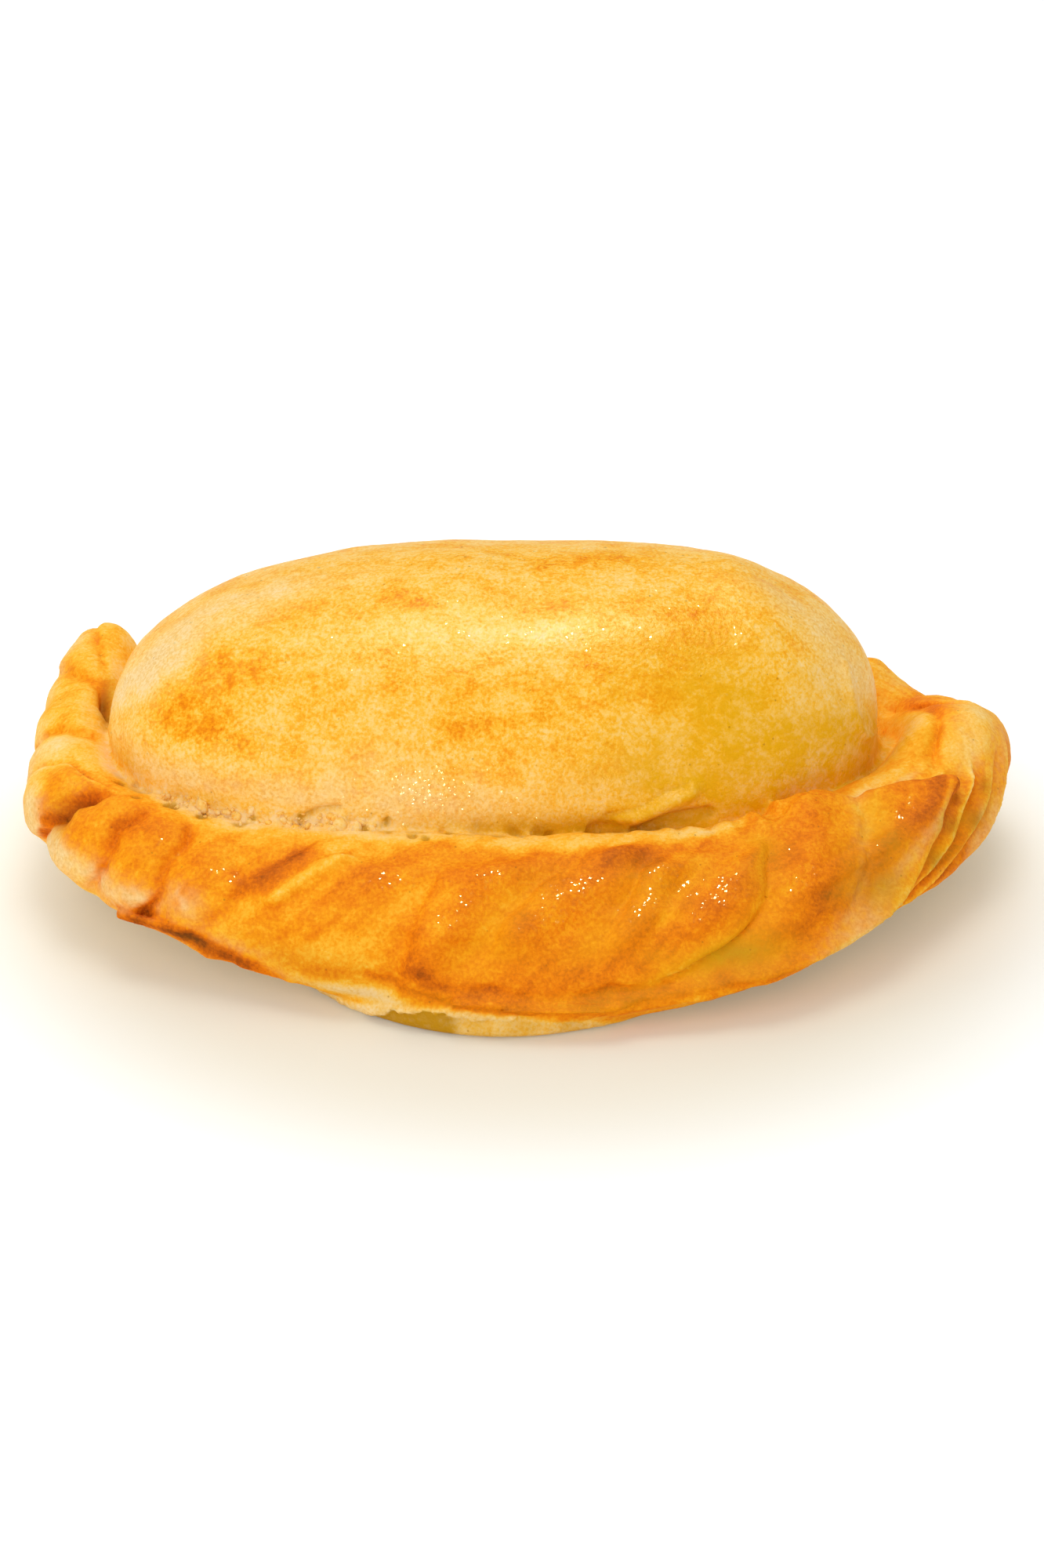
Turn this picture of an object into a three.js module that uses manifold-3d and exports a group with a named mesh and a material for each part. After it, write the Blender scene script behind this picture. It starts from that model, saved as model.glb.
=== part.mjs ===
// A baked empanada: one disc of dough folded over its filling into a half-moon, with the two layers of
// the edge pinched and rolled into a rope of slanted folds. It is one closed solid, because the crust is
// one piece of dough and nothing of the filling shows.
//
// Frame: millimetres, +Z up. The empanada lies on its flat underside at z = 0, with the folded back
// towards +Y and the rope round the front (-Y) and both sides. X runs along its length. The origin is
// under the middle of its outline; the places below are measured from a working centre line close to it.
import * as THREE from "three";
import { mergeVertices } from "three/addons/utils/BufferGeometryUtils.js";
import Module from "manifold-3d";

const { lerp, clamp, degToRad } = THREE.MathUtils;

// --- Driving dimensions, mm ---------------------------------------------------------------------------
// Filled part. Its sections across X are widest at the spring line, and shrink towards both ends.
const DOME = {
  left: -55.5,
  right: 47.6,
  ridgeY: 15, // line along which the crust is highest
  front: -11,
  back: 45.5,
  springHeight: 15, // at mid length
  springRise: 4, // how much higher the spring line is at both ends
  height: 43.2,
};
// How the filled part narrows: (1 - |t| ** power) ** root, with t from -1 at its left end to 1.
const TAPER = {
  back: { power: 3, root: 0.45 },
  leftFront: { power: 3, root: 0.45 },
  rightFront: { power: 2.5, root: 0.5 },
  leftTop: { power: 2, root: 0.48 },
  rightTop: { power: 2.9, root: 0.44 },
};

// Underside: a shallow bowl that spreads the weight over an oval and is cut flat at z = 0.
const BELLY = { centreX: -2.3, centreY: 4, halfLength: 33, halfDepth: 36.5, low: -8, high: 10 };

// Web: the sealed dough that joins the filled part to the rope and fills the corners of the half-moon.
// Its outline is the middle of the rope, closed by these points along the folded back.
const WEB = {
  back: [
    [24, 41.5, 13],
    [-8, 44, 12.5],
    [-36, 44, 12.5],
  ],
  halfThickness: 5.5,
};

// The rope, section by section from its left tip round the front to its right tip: the middle of the
// section, its half width across the rope and half thickness, and how far its face tilts outwards, deg.
const ROPE_SECTIONS = [
  { at: [-58.8, 43.6, 17.5], halfWidth: 4.8, halfThickness: 5.4, tilt: 10 },
  { at: [-59.8, 31.5, 15.4], halfWidth: 6.1, halfThickness: 6.1, tilt: 14 },
  { at: [-59.7, 18.5, 13.5], halfWidth: 6.7, halfThickness: 6.4, tilt: 18 },
  { at: [-59.0, 6.5, 13.0], halfWidth: 7.0, halfThickness: 6.5, tilt: 24 },
  { at: [-53.2, -4.0, 12.8], halfWidth: 7.4, halfThickness: 6.3, tilt: 28 },
  { at: [-40.3, -12.0, 11.5], halfWidth: 8.9, halfThickness: 6.1, tilt: 32 },
  { at: [-20.0, -18.2, 10.2], halfWidth: 11.3, halfThickness: 6.0, tilt: 38 },
  { at: [5.0, -20.8, 9.5], halfWidth: 12.5, halfThickness: 6.0, tilt: 39 },
  { at: [27.0, -16.8, 10.1], halfWidth: 10.9, halfThickness: 6.3, tilt: 34 },
  { at: [42.4, -7.0, 11.3], halfWidth: 8.8, halfThickness: 6.5, tilt: 32 },
  { at: [52.8, 3.4, 12.2], halfWidth: 8.3, halfThickness: 6.9, tilt: 28 },
  { at: [58.3, 15.0, 14.3], halfWidth: 7.7, halfThickness: 7.3, tilt: 22 },
  { at: [57.5, 25.5, 11.8], halfWidth: 7.0, halfThickness: 6.0, tilt: 15 },
  { at: [53.5, 32.5, 10.4], halfWidth: 5.8, halfThickness: 5.2, tilt: 12 },
  { at: [45.8, 41.1, 14.0], halfWidth: 4.4, halfThickness: 4.8, tilt: 10 },
];
const TIP_LENGTH = 8; // over which each end of the rope rounds off

// The creases that part the folds of the rope, in mm along it from its left tip: `at` is the place on the
// middle of the face, `slant` is how much further along the crease meets the filled part, and `swell` is
// how far the fold after it stands up. The left tip stands as the first crease.
const CREASES = [
  { at: 0, slant: 0, swell: 1.2 },
  { at: 16, slant: 4, swell: 1.4 },
  { at: 29.2, slant: 5, swell: 1.4 },
  { at: 38.3, slant: 6, swell: 1.5 },
  { at: 46.5, slant: 4, swell: 1.9 },
  { at: 54.2, slant: 2, swell: 1.5 },
  { at: 62.5, slant: 3, swell: 1.9 },
  { at: 77.5, slant: 9, swell: 2.0 },
  { at: 94.5, slant: 8, swell: 1.7 },
  { at: 105.5, slant: 9, swell: 1.5 },
  { at: 118.5, slant: 10, swell: 1.5 },
  { at: 136.5, slant: 12, swell: 1.8 },
  { at: 150.5, slant: 11, swell: 2.5 },
  { at: 166, slant: 13, swell: 1.2 },
  { at: 173, slant: 12, swell: 1.2 },
  { at: 180, slant: 9, swell: 1.5 },
  { at: 190, slant: 4, swell: 1.4 },
];
// Each fold swells soon after its own crease and sinks slowly towards the next one.
const FOLD = {
  lean: 0.8, // below 1, the top of the fold lies nearer its own crease
  fullness: 0.7, // below 1, the fold is rounder on top and steeper at the creases
  sunk: 0.6, // share of the swell by which a crease lies below the plain section
};

// --- Rope ---------------------------------------------------------------------------------------------
function ropeCurve(valuesOf) {
  const points = ROPE_SECTIONS.map((section) => new THREE.Vector3(...valuesOf(section)));
  return new THREE.CatmullRomCurve3(points, false, "catmullrom");
}

const ropeCentre = ropeCurve(({ at }) => at);
const ropeSize = ropeCurve((s) => [s.halfWidth, s.halfThickness, s.tilt]);
ropeCentre.arcLengthDivisions = 800;
const ropeLength = ropeCentre.getLength();
const rightTip = { at: ropeLength, slant: 0, swell: 0 };
const folds = CREASES.map((crease, i) => [crease, CREASES[i + 1] ?? rightTip]);

// A point of the rope's skin: u runs from the left tip to the right tip and v once round the section.
// Steps of u follow the creases, so that each fold has the same number of them. The relief is deepest on
// the face and inner edge, and shallow on the underside, which was pressed flat on the baking tray.
function ropePoint(u, v) {
  const turn = 2 * Math.PI * v; // 0 is the outer edge, a quarter turn is the middle of the face
  const fold = Math.min(Math.floor(u * folds.length), folds.length - 1);
  const share = u * folds.length - fold; // how far across the fold, from its own crease to the next
  const [crease, next] = folds[fold];
  const slant = lerp(crease.slant, next.slant, share);
  const along = lerp(crease.at, next.at, share) - slant * Math.cos(turn);
  const swell = crease.swell * (0.65 + 0.35 * Math.sin(turn - Math.PI / 6));
  const profile = Math.sin(Math.PI * share ** FOLD.lean) ** FOLD.fullness;
  const relief = swell * (profile - FOLD.sunk);

  const t = ropeCentre.getUtoTmapping(along / ropeLength);
  const { x: halfWidth, y: halfThickness, z: tilt } = ropeSize.getPoint(t);
  const forward = ropeCentre.getTangent(t).setZ(0).normalize();
  const outward = new THREE.Vector3(forward.y, -forward.x, 0);
  const lean = degToRad(tilt);
  const across = outward.clone().multiplyScalar(Math.cos(lean)).setZ(-Math.sin(lean));
  const face = outward.clone().multiplyScalar(Math.sin(lean)).setZ(Math.cos(lean));
  const toTip = clamp(Math.min(along, ropeLength - along) / TIP_LENGTH, 0, 1);
  const rounding = Math.sqrt(1 - (1 - toTip) ** 2);
  return ropeCentre
    .getPoint(t)
    .addScaledVector(across, rounding * (halfWidth + relief) * Math.cos(turn))
    .addScaledVector(face, rounding * (halfThickness + relief) * Math.sin(turn));
}

// --- Filled part, web and underside -------------------------------------------------------------------
function domePoint(u, v) {
  const turn = -2 * Math.PI * v; // 0 towards the back
  const t = -Math.cos(Math.PI * u);
  const narrowed = ({ power, root }) => (1 - Math.abs(t) ** power) ** root;
  const front = narrowed(t < 0 ? TAPER.leftFront : TAPER.rightFront);
  const top = narrowed(t < 0 ? TAPER.leftTop : TAPER.rightTop);
  const back = narrowed(TAPER.back);
  const reach =
    Math.cos(turn) < 0
      ? (DOME.ridgeY - DOME.front) * front
      : (DOME.back - DOME.ridgeY) * back;
  const lift =
    Math.sin(turn) > 0
      ? (DOME.height - DOME.springHeight) * top
      : DOME.springHeight * back;
  return new THREE.Vector3(
    lerp(DOME.left, DOME.right, (t + 1) / 2),
    DOME.ridgeY + reach * Math.cos(turn),
    DOME.springHeight + DOME.springRise * t * t + lift * Math.sin(turn),
  );
}

const webOutline = new THREE.CatmullRomCurve3(
  [...ROPE_SECTIONS.map(({ at }) => at), ...WEB.back].map((at) => new THREE.Vector3(...at)),
  true,
  "catmullrom",
);

function webPoint(u, v) {
  const rise = -Math.cos(Math.PI * u);
  const spread = (1 - Math.abs(rise) ** 3) ** (1 / 3);
  const middle = new THREE.Vector3(0, DOME.ridgeY, DOME.springHeight);
  const point = middle.lerp(webOutline.getPoint(1 - v), spread);
  point.z += WEB.halfThickness * rise;
  return point;
}

function bellyPoint(u, v) {
  const turn = -2 * Math.PI * v;
  const rise = -Math.cos(Math.PI * u);
  const spread = Math.sqrt(1 - rise ** 2);
  return new THREE.Vector3(
    BELLY.centreX + BELLY.halfLength * spread * Math.cos(turn),
    BELLY.centreY + BELLY.halfDepth * spread * Math.sin(turn),
    lerp(BELLY.low, BELLY.high, (rise + 1) / 2),
  );
}

// --- Solids -------------------------------------------------------------------------------------------
// A closed surface from point(u, v): u runs between two poles and v runs round them.
function closedSurface(point, steps, sides) {
  const corners = [point(0, 0)];
  for (let i = 1; i < steps; i += 1)
    for (let j = 0; j < sides; j += 1) corners.push(point(i / steps, j / sides));
  corners.push(point(1, 0));
  const last = corners.length - 1;
  const at = (i, j) => 1 + (i - 1) * sides + (j % sides);
  const faces = [];
  for (let j = 0; j < sides; j += 1) {
    faces.push(0, at(1, j), at(1, j + 1));
    faces.push(last, at(steps - 1, j + 1), at(steps - 1, j));
    for (let i = 1; i < steps - 1; i += 1) {
      faces.push(at(i, j), at(i + 1, j), at(i + 1, j + 1));
      faces.push(at(i, j), at(i + 1, j + 1), at(i, j + 1));
    }
  }
  return new THREE.BufferGeometry().setFromPoints(corners).setIndex(faces);
}

const wasm = await Module();
wasm.setup();

function solid(geometry) {
  geometry.deleteAttribute("normal");
  geometry.deleteAttribute("uv");
  const merged = mergeVertices(geometry);
  return new wasm.Manifold(
    new wasm.Mesh({
      numProp: 3,
      vertProperties: merged.attributes.position.array,
      triVerts: new Uint32Array(merged.index.array),
    }),
  );
}

const STEPS_PER_FOLD = 7;
const GROUND = 400; // side of the block that cuts the underside flat
const ground = new THREE.BoxGeometry(GROUND, GROUND, GROUND);
ground.translate(0, 0, -GROUND / 2);
const crustSolid = solid(closedSurface(domePoint, 34, 38))
  .add(solid(closedSurface(webPoint, 10, 60)))
  .add(solid(closedSurface(bellyPoint, 10, 44)))
  .add(solid(closedSurface(ropePoint, STEPS_PER_FOLD * folds.length, 24)))
  .subtract(solid(ground));

const { vertProperties, triVerts } = crustSolid.getMesh();
const geometry = new THREE.BufferGeometry();
geometry.setAttribute("position", new THREE.BufferAttribute(vertProperties, 3));
geometry.setIndex(new THREE.BufferAttribute(triVerts, 1));
geometry.computeVertexNormals();
geometry.computeBoundingBox();
const middle = geometry.boundingBox.getCenter(new THREE.Vector3());

const crust = new THREE.MeshStandardMaterial({
  color: "#e8a54a",
  roughness: 0.45,
  metalness: 0,
});
const empanada = new THREE.Mesh(geometry, crust);
empanada.name = "empanada";
empanada.position.set(-middle.x, -middle.y, 0);

const part = new THREE.Group();
part.add(empanada);

export default part;
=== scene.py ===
"""A baked empanada: a domed half-moon of dough with a rope of slanted folds round its edge.

The crust is one piece. Its shape is worked out as a distance field in working millimetres (the same places
as the CAD part's), turned into one closed mesh, and then given its fine relief and its browning, vertex by
vertex. The material reads that browning and adds the grain that is finer than the mesh.
"""

import math

import bmesh
import bpy
import numpy as np
from mathutils import Euler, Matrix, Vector


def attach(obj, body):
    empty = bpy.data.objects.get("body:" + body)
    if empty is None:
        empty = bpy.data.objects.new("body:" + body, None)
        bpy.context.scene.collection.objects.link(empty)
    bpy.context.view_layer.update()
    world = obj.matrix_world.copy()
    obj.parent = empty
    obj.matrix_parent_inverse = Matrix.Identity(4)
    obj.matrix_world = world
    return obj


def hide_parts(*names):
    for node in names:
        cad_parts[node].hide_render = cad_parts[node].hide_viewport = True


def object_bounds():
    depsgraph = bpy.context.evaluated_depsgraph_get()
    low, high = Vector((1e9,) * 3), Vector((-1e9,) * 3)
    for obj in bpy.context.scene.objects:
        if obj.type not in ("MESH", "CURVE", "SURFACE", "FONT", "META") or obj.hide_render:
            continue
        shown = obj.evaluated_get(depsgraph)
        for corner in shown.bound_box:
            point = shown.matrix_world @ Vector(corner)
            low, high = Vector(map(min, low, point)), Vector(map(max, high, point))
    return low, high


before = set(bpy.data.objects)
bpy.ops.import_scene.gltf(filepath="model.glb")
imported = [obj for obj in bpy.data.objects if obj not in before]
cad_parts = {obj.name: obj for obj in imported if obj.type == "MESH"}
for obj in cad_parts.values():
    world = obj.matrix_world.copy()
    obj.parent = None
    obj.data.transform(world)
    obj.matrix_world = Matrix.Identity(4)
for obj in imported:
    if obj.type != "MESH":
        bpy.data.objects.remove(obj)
cad_low, cad_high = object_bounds()

# --- Frame --------------------------------------------------------------------------------------------
LENGTH = 132.895  # of the whole empanada, working millimetres
MM = (cad_high[0] - cad_low[0]) / LENGTH  # metres
WORK_CENTRE = np.array([-0.273, 6.5, 0.0])  # working place of the frame's origin
PITCH = 0.34  # of the distance field, mm
MOST_TRIANGLES = 195_000


def to_frame(work):
    """Working millimetres to metres in the frame."""
    return (np.asarray(work, float) - WORK_CENTRE) * MM


# --- Driving dimensions, working mm -------------------------------------------------------------------
DOME = dict(left=-55.5, right=47.6, ridge_y=15, front=-11, back=45.5, spring=15, spring_rise=4, height=43.2)
# How the filled part narrows towards its ends: (1 - |t| ** power) ** root.
TAPER = dict(back=(3, 0.45), left_front=(3, 0.45), right_front=(2.5, 0.5), left_top=(2, 0.48),
             right_top=(2.9, 0.44))
BELLY = dict(centre_x=-2.3, centre_y=4, half_length=33, half_depth=36.5, middle_z=1, half_height=9)
WEB_BACK = [(24, 41.5, 13), (-8, 44, 12.5), (-36, 44, 12)]
WEB_DEPTH = 3.2  # of the middle of the sealed dough below the rope's middle line
WEB_HALF_THICKNESS = 4.0
WEB_BLEND = 4  # rounding of the web's edge
BODY_BLEND = 5  # how far dome, web and belly run into each other
BASE_BLEND = 1.2  # rounding of the edge round the flat base
GRID = (-71, 70), (-36, 51), (-2, 47)  # the reach of the distance field in x, y and z

# The rope from its left tip: x, y, z, half width across, half thickness, tilt of its face in degrees.
ROPE_SECTIONS = np.array([
    (-59.0, 38.5, 17.0, 4.8, 5.4, 10),
    (-59.8, 31.5, 15.4, 6.1, 6.1, 14),
    (-59.7, 18.5, 13.5, 6.7, 6.4, 18),
    (-59.0, 6.5, 13.0, 7.0, 6.5, 24),
    (-53.2, -4.0, 12.8, 7.4, 6.3, 28),
    (-40.3, -12.0, 11.5, 8.9, 6.1, 32),
    (-20.0, -18.2, 10.2, 11.3, 6.0, 38),
    (5.0, -20.8, 9.5, 12.5, 6.0, 39),
    (27.0, -16.8, 10.1, 10.9, 6.3, 34),
    (42.4, -7.0, 11.3, 8.8, 6.5, 32),
    (52.8, 3.4, 12.2, 8.3, 6.9, 28),
    (58.3, 15.0, 14.3, 7.7, 7.3, 22),
    (57.5, 25.5, 11.8, 7.0, 6.0, 15),
    (53.5, 32.5, 10.4, 5.8, 5.2, 12),
    (49.0, 37.5, 12.9, 4.4, 4.8, 10),
])
START = 7.0  # the place that the first section has in the lengths below, mm
# Lines across the rope. path: points, as place along the rope (mm) and turn round its section (degrees: 0 the
# outer edge, 90 the middle of the face, 180 the inner edge). groove, height and width: depth or height of the
# line, and its half width. lap and reach: how far the dough before the line stands above the dough after it,
# and over what length (below zero: the dough after it is the higher). tone, rim and shade: how much browner
# (below zero: paler) are the line, the raised edge beside it, and the dough that this edge overhangs. Above
# zero, shade is painted shadow under the overhang, and on the deeper creases tone is partly painted shade in
# the groove. pale and olive: how sandy and how olive the line is. fade: degrees over which it begins and
# ends.
CREASES = [
    dict(name="tip fold", path=[(5, 62), (6.8, 82), (10.9, 106), (16, 126)], groove=1.0, width=0.9, lap=0.4,
         reach=4, tone=0.22),
    dict(name="first left", path=[(12, 20), (13.6, 51), (17.8, 89), (19.4, 109), (21.3, 131), (24.7, 149)],
         groove=1.4, width=1.3, lap=0.5, tone=0.2),
    dict(name="second left", path=[(29, 20), (30.6, 83), (33.1, 112), (33, 139)], groove=1.2, width=1.1,
         lap=0.6, tone=0.22),
    dict(name="third left", path=[(37, 20), (38.6, 69), (40.1, 87), (41.5, 103), (46.4, 112), (49.8, 123)],
         groove=0.9, width=0.8, lap=-0.5, tone=0.2, rim=-0.25),
    dict(name="deep left", path=[(43, -10), (45.5, 30), (47, 52), (47.9, 64), (48.2, 82), (51, 116)],
         groove=2.2, width=0.9, lap=0.9, reach=6, tone=0.5),
    dict(name="fifth left", path=[(54, -5), (55.4, 34), (56.2, 62), (55.9, 84), (56.9, 102), (58, 118)],
         groove=1.6, width=1.0, lap=0.7, tone=0.26),
    dict(name="sixth left", path=[(61, -5), (63.7, 46), (63.8, 68), (64.7, 96), (64.2, 118)], groove=1.5,
         width=0.9, lap=0.7, tone=0.26),
    dict(name="curl", path=[(71, 40), (73.4, 64), (74, 78), (72, 92)], groove=0.8, width=0.8, lap=0.5,
         reach=3, tone=0.18),
    dict(name="second curl", path=[(74.8, 88), (79.6, 111), (81.1, 127)], groove=0.7, width=0.8, lap=-0.3,
         reach=3, tone=0.2),
    dict(name="long lobe", path=[(93, 10), (94.3, 33), (95, 54), (95.5, 69), (96.3, 88), (98.3, 108)],
         groove=0.8, width=2.2, lap=-1.0, reach=6, tone=0.04, rim=0.1),
    dict(name="middle one", path=[(102.4, 50), (104.5, 63), (106.8, 85), (110.3, 104), (113.5, 119)],
         groove=1.1, width=1.9, lap=-0.6, reach=6, olive=0.25),
    dict(name="middle two", path=[(117, 62), (118.6, 74), (121.3, 94), (124.1, 117)], groove=1.1, width=1.7,
         lap=-0.6, reach=6, olive=0.3),
    dict(name="middle three", path=[(124.5, 72), (127, 90), (131, 112)], groove=0.8, width=1.6, lap=-0.4,
         tone=-0.04, olive=0.3),
    dict(name="thin", path=[(122, 30), (128, 42), (132, 51), (135, 62), (137.2, 74), (138.6, 89),
         (140.4, 112)], groove=1.5, width=0.8, lap=0.9, tone=-0.02, shade=0.08, rim=-0.1, olive=0.35),
    dict(name="before the point", path=[(137, 14), (142, 28), (145.6, 40), (148.4, 54), (150.6, 67),
         (153.6, 92), (157.6, 133)], groove=0.6, width=1.8, lap=0.7, tone=-0.1, pale=0.4, fade=8),
    dict(name="edge of the point", path=[(138, 14), (146, 24), (151, 30), (155, 34), (158, 43), (161.8, 58),
         (164.9, 71), (167.9, 83), (169.5, 92)], groove=0.5, width=0.7, lap=2.4, reach=8, rim=-0.22,
         shade=0.3),
    dict(name="behind it one", path=[(152, 14), (158.2, 30), (161.6, 36), (164.4, 43), (167.1, 53),
         (169.9, 61), (172.1, 67), (174, 76)], groove=1.1, width=0.7, lap=2.0, reach=3, rim=-0.35,
         shade=0.45),
    dict(name="top of the point", path=[(168.6, 90), (165, 110), (159, 122), (152, 136)], groove=0.3,
         width=0.7, lap=1.1, reach=4, rim=0.05, shade=-0.25, fade=5),
    dict(name="behind it two", path=[(157, 8), (164.5, 23), (167.6, 29), (171.1, 36), (174.6, 44),
         (178.5, 56)], groove=1.0, width=0.6, lap=1.6, reach=3, rim=-0.25, shade=0.45),
    dict(name="behind it three", path=[(169, 0), (173, 10), (177.3, 18), (180.1, 29), (182.5, 44)],
         groove=1.0, width=0.6, lap=1.4, reach=3, rim=-0.25, shade=0.4),
    dict(name="pink crease", path=[(171, 104), (172.5, 113), (175, 121), (179.8, 128), (185, 136)],
         groove=1.5, width=1.0, lap=-0.5, tone=0.22),
    dict(name="right end", path=[(187, 98), (190, 120), (193, 140)], groove=1.0, width=1.2, lap=-0.6,
         tone=0.2),
    dict(name="right tip", path=[(197, 30), (200, 90), (199, 150)], groove=1.6, width=1.2, lap=0.3, reach=4,
         tone=0.1),
]
# Ridges across the rope, in the same terms.
RIDGES = [
    dict(name="streak", path=[(77.6, 72), (79, 80), (81.2, 92), (83.8, 104), (86.5, 114)], height=0.9,
         width=0.75, tone=-0.36, fade=5),
    dict(name="streak shoulder", path=[(73.5, 70), (76, 84), (78.6, 98), (81, 120)], height=0.3, width=1.4,
         tone=0.22),
    dict(name="fourth left", path=[(41, 10), (44, 90), (50, 120)], height=0.5, width=2.0, tone=0.1),
    dict(name="fifth left", path=[(50.5, 10), (52, 60), (54, 105)], height=0.8, width=2.4),
    dict(name="sixth left", path=[(59, 10), (60, 60), (60.5, 110)], height=0.8, width=2.4),
    dict(name="lobe of the curl", path=[(67, 20), (68, 60), (69, 105)], height=0.7, width=2.4, tone=0.04),
    dict(name="second left", path=[(24, 40), (26, 75), (27.5, 110)], height=0.5, width=2.6),
    dict(name="third left", path=[(34.5, 40), (35.5, 75), (37, 115)], height=0.3, width=2.0),
    dict(name="long lobe", path=[(83, 55), (88, 92), (92.7, 106), (96.3, 114)], height=0.7, width=3.5,
         tone=0.05),
    dict(name="middle one", path=[(96.7, 48), (98.5, 71), (101.2, 89), (105.3, 108), (108.9, 123)],
         height=1.3, width=2.6, tone=0.05),
    dict(name="middle two", path=[(107, 68), (109.1, 82), (112.1, 92), (115.5, 103), (118.5, 112),
         (122.2, 133)], height=1.2, width=2.4, tone=0.04),
    dict(name="middle three", path=[(119, 66), (121.2, 80), (123.9, 90), (125.4, 104), (128.7, 117)],
         height=1.2, width=2.1, tone=0.0),
    dict(name="middle four", path=[(129.2, 68), (131.7, 78), (134.5, 87), (137.6, 103), (139.9, 115)],
         height=1.1, width=2.2, tone=0.05),
    dict(name="peaked lobe", path=[(138, 45), (141, 69), (143.4, 86), (146.9, 105), (150.1, 129),
         (151, 150)], height=1.2, width=3.0, tone=0.04),
    dict(name="pale edge of the point", path=[(141, 17), (146, 27), (149.5, 38), (153, 47), (157, 57),
         (160.5, 66), (164, 74), (167.5, 82)], height=0.2, width=1.2, tone=-0.06, pale=0.55),
    dict(name="brown edge of the point", path=[(150, 60), (154.5, 70), (159, 77), (163, 82), (167, 88)],
         height=0.3, width=1.5, tone=0.16),
    dict(name="end one", path=[(176, 62), (180, 80), (183, 105)], height=0.5, width=2.0, tone=-0.06),
    dict(name="end two", path=[(185, 20), (188, 60), (188, 100)], height=0.6, width=2.5, tone=0),
]
# Ridges (or, with a height below zero, grooves) along the rope: place along, turn and height at each point.
RIMS = [
    dict(name="left lower edge", points=[(52, 2, 0.3), (60, 4, 0.9), (70, -4, 1.1), (82, -4, 0.5)],
         width=1.2),
    dict(name="lip one", points=[(88, 33, -0.2), (90.7, 32, -0.4), (94.2, 27, -0.6), (99.4, 22, -0.6),
         (104, 24, -0.3)], width=0.55, tone=0.35),
    dict(name="lip two", points=[(98, 38, -0.2), (103.6, 37, -0.5), (109, 35, -0.4)], width=0.5, tone=0.25),
    dict(name="lip three", points=[(104, 25, -0.3), (110, 22, -0.5), (117, 25, -0.3)], width=0.45,
         tone=0.2),
    dict(name="lip four", points=[(113, 38, -0.2), (118.6, 36, -0.6), (123, 32, -0.8), (131, 32, -0.7),
         (138, 25, -0.4)], width=0.6, tone=0.22),
    # The hollow's tone is painted shade in it.
    dict(name="hollow", points=[(19, 128, -0.5), (24, 136, -3.0), (28, 143, -1.2)], width=1.3, tone=0.5),
    dict(name="inner rim", points=[(112, 150, 0), (124, 152, 1.2), (138, 150, 1.2), (149, 148, 2.2),
         (156, 145, 1)], width=2.6),
]
# Corners of dough that stand off the rope: flat triangles with round edges, cornered at (along, turn, above).
POINTS = [
    dict(name="point", corners=[(168.0, 83, 1.7), (158, 118, 0.2), (157, 68, 0.2)], radius=1.1, blend=1.5),
    dict(name="flap", corners=[(59.8, 13, 1.5), (67, 17, 0.2), (68.5, -6, -0.4)], radius=0.6, blend=0.9),
]
# Marks on the dome, through points (x, turn over the dome in degrees: 90 the top, 180 the front edge).
DOME_MARKS = [
    dict(name="left crack", points=[(-27.5, 171.5), (-26, 169.5), (-23.5, 168.5)], height=-0.7, width=0.4),
    dict(name="right crack", points=[(11, 171.5), (15, 170), (18.5, 166), (21, 165)], height=-0.5,
         width=0.4),
    dict(name="lip", points=[(13, 173.5), (17, 170.5), (21.5, 167)], height=1.4, width=1.3),
    dict(name="under the lip", points=[(14.5, 177), (19, 174), (24, 174)], height=-1.3, width=0.8),
    dict(name="pit", points=[(9.5, 176), (13, 174.5)], height=-1.2, width=1.1),
    dict(name="hole", points=[(-1.5, 178), (0.5, 178)], height=-1.1, width=0.8),
    dict(name="right ridge", points=[(42.5, 118), (43.5, 140), (44.5, 156), (46, 165)], height=0.5,
         width=0.8),
    dict(name="right shoulder", points=[(27, 78), (28, 96)], height=1.0, width=5),
    dict(name="right flank", points=[(43, 105), (45, 140)], height=-0.4, width=4),
    dict(name="right shoulder front", points=[(31, 100), (33, 128)], height=0.6, width=5),
    dict(name="left shoulder", points=[(-43, 100), (-45, 125)], height=0.7, width=6),
    dict(name="left lower bulge", points=[(-48, 150), (-38, 158)], height=0.8, width=6),
]
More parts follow.
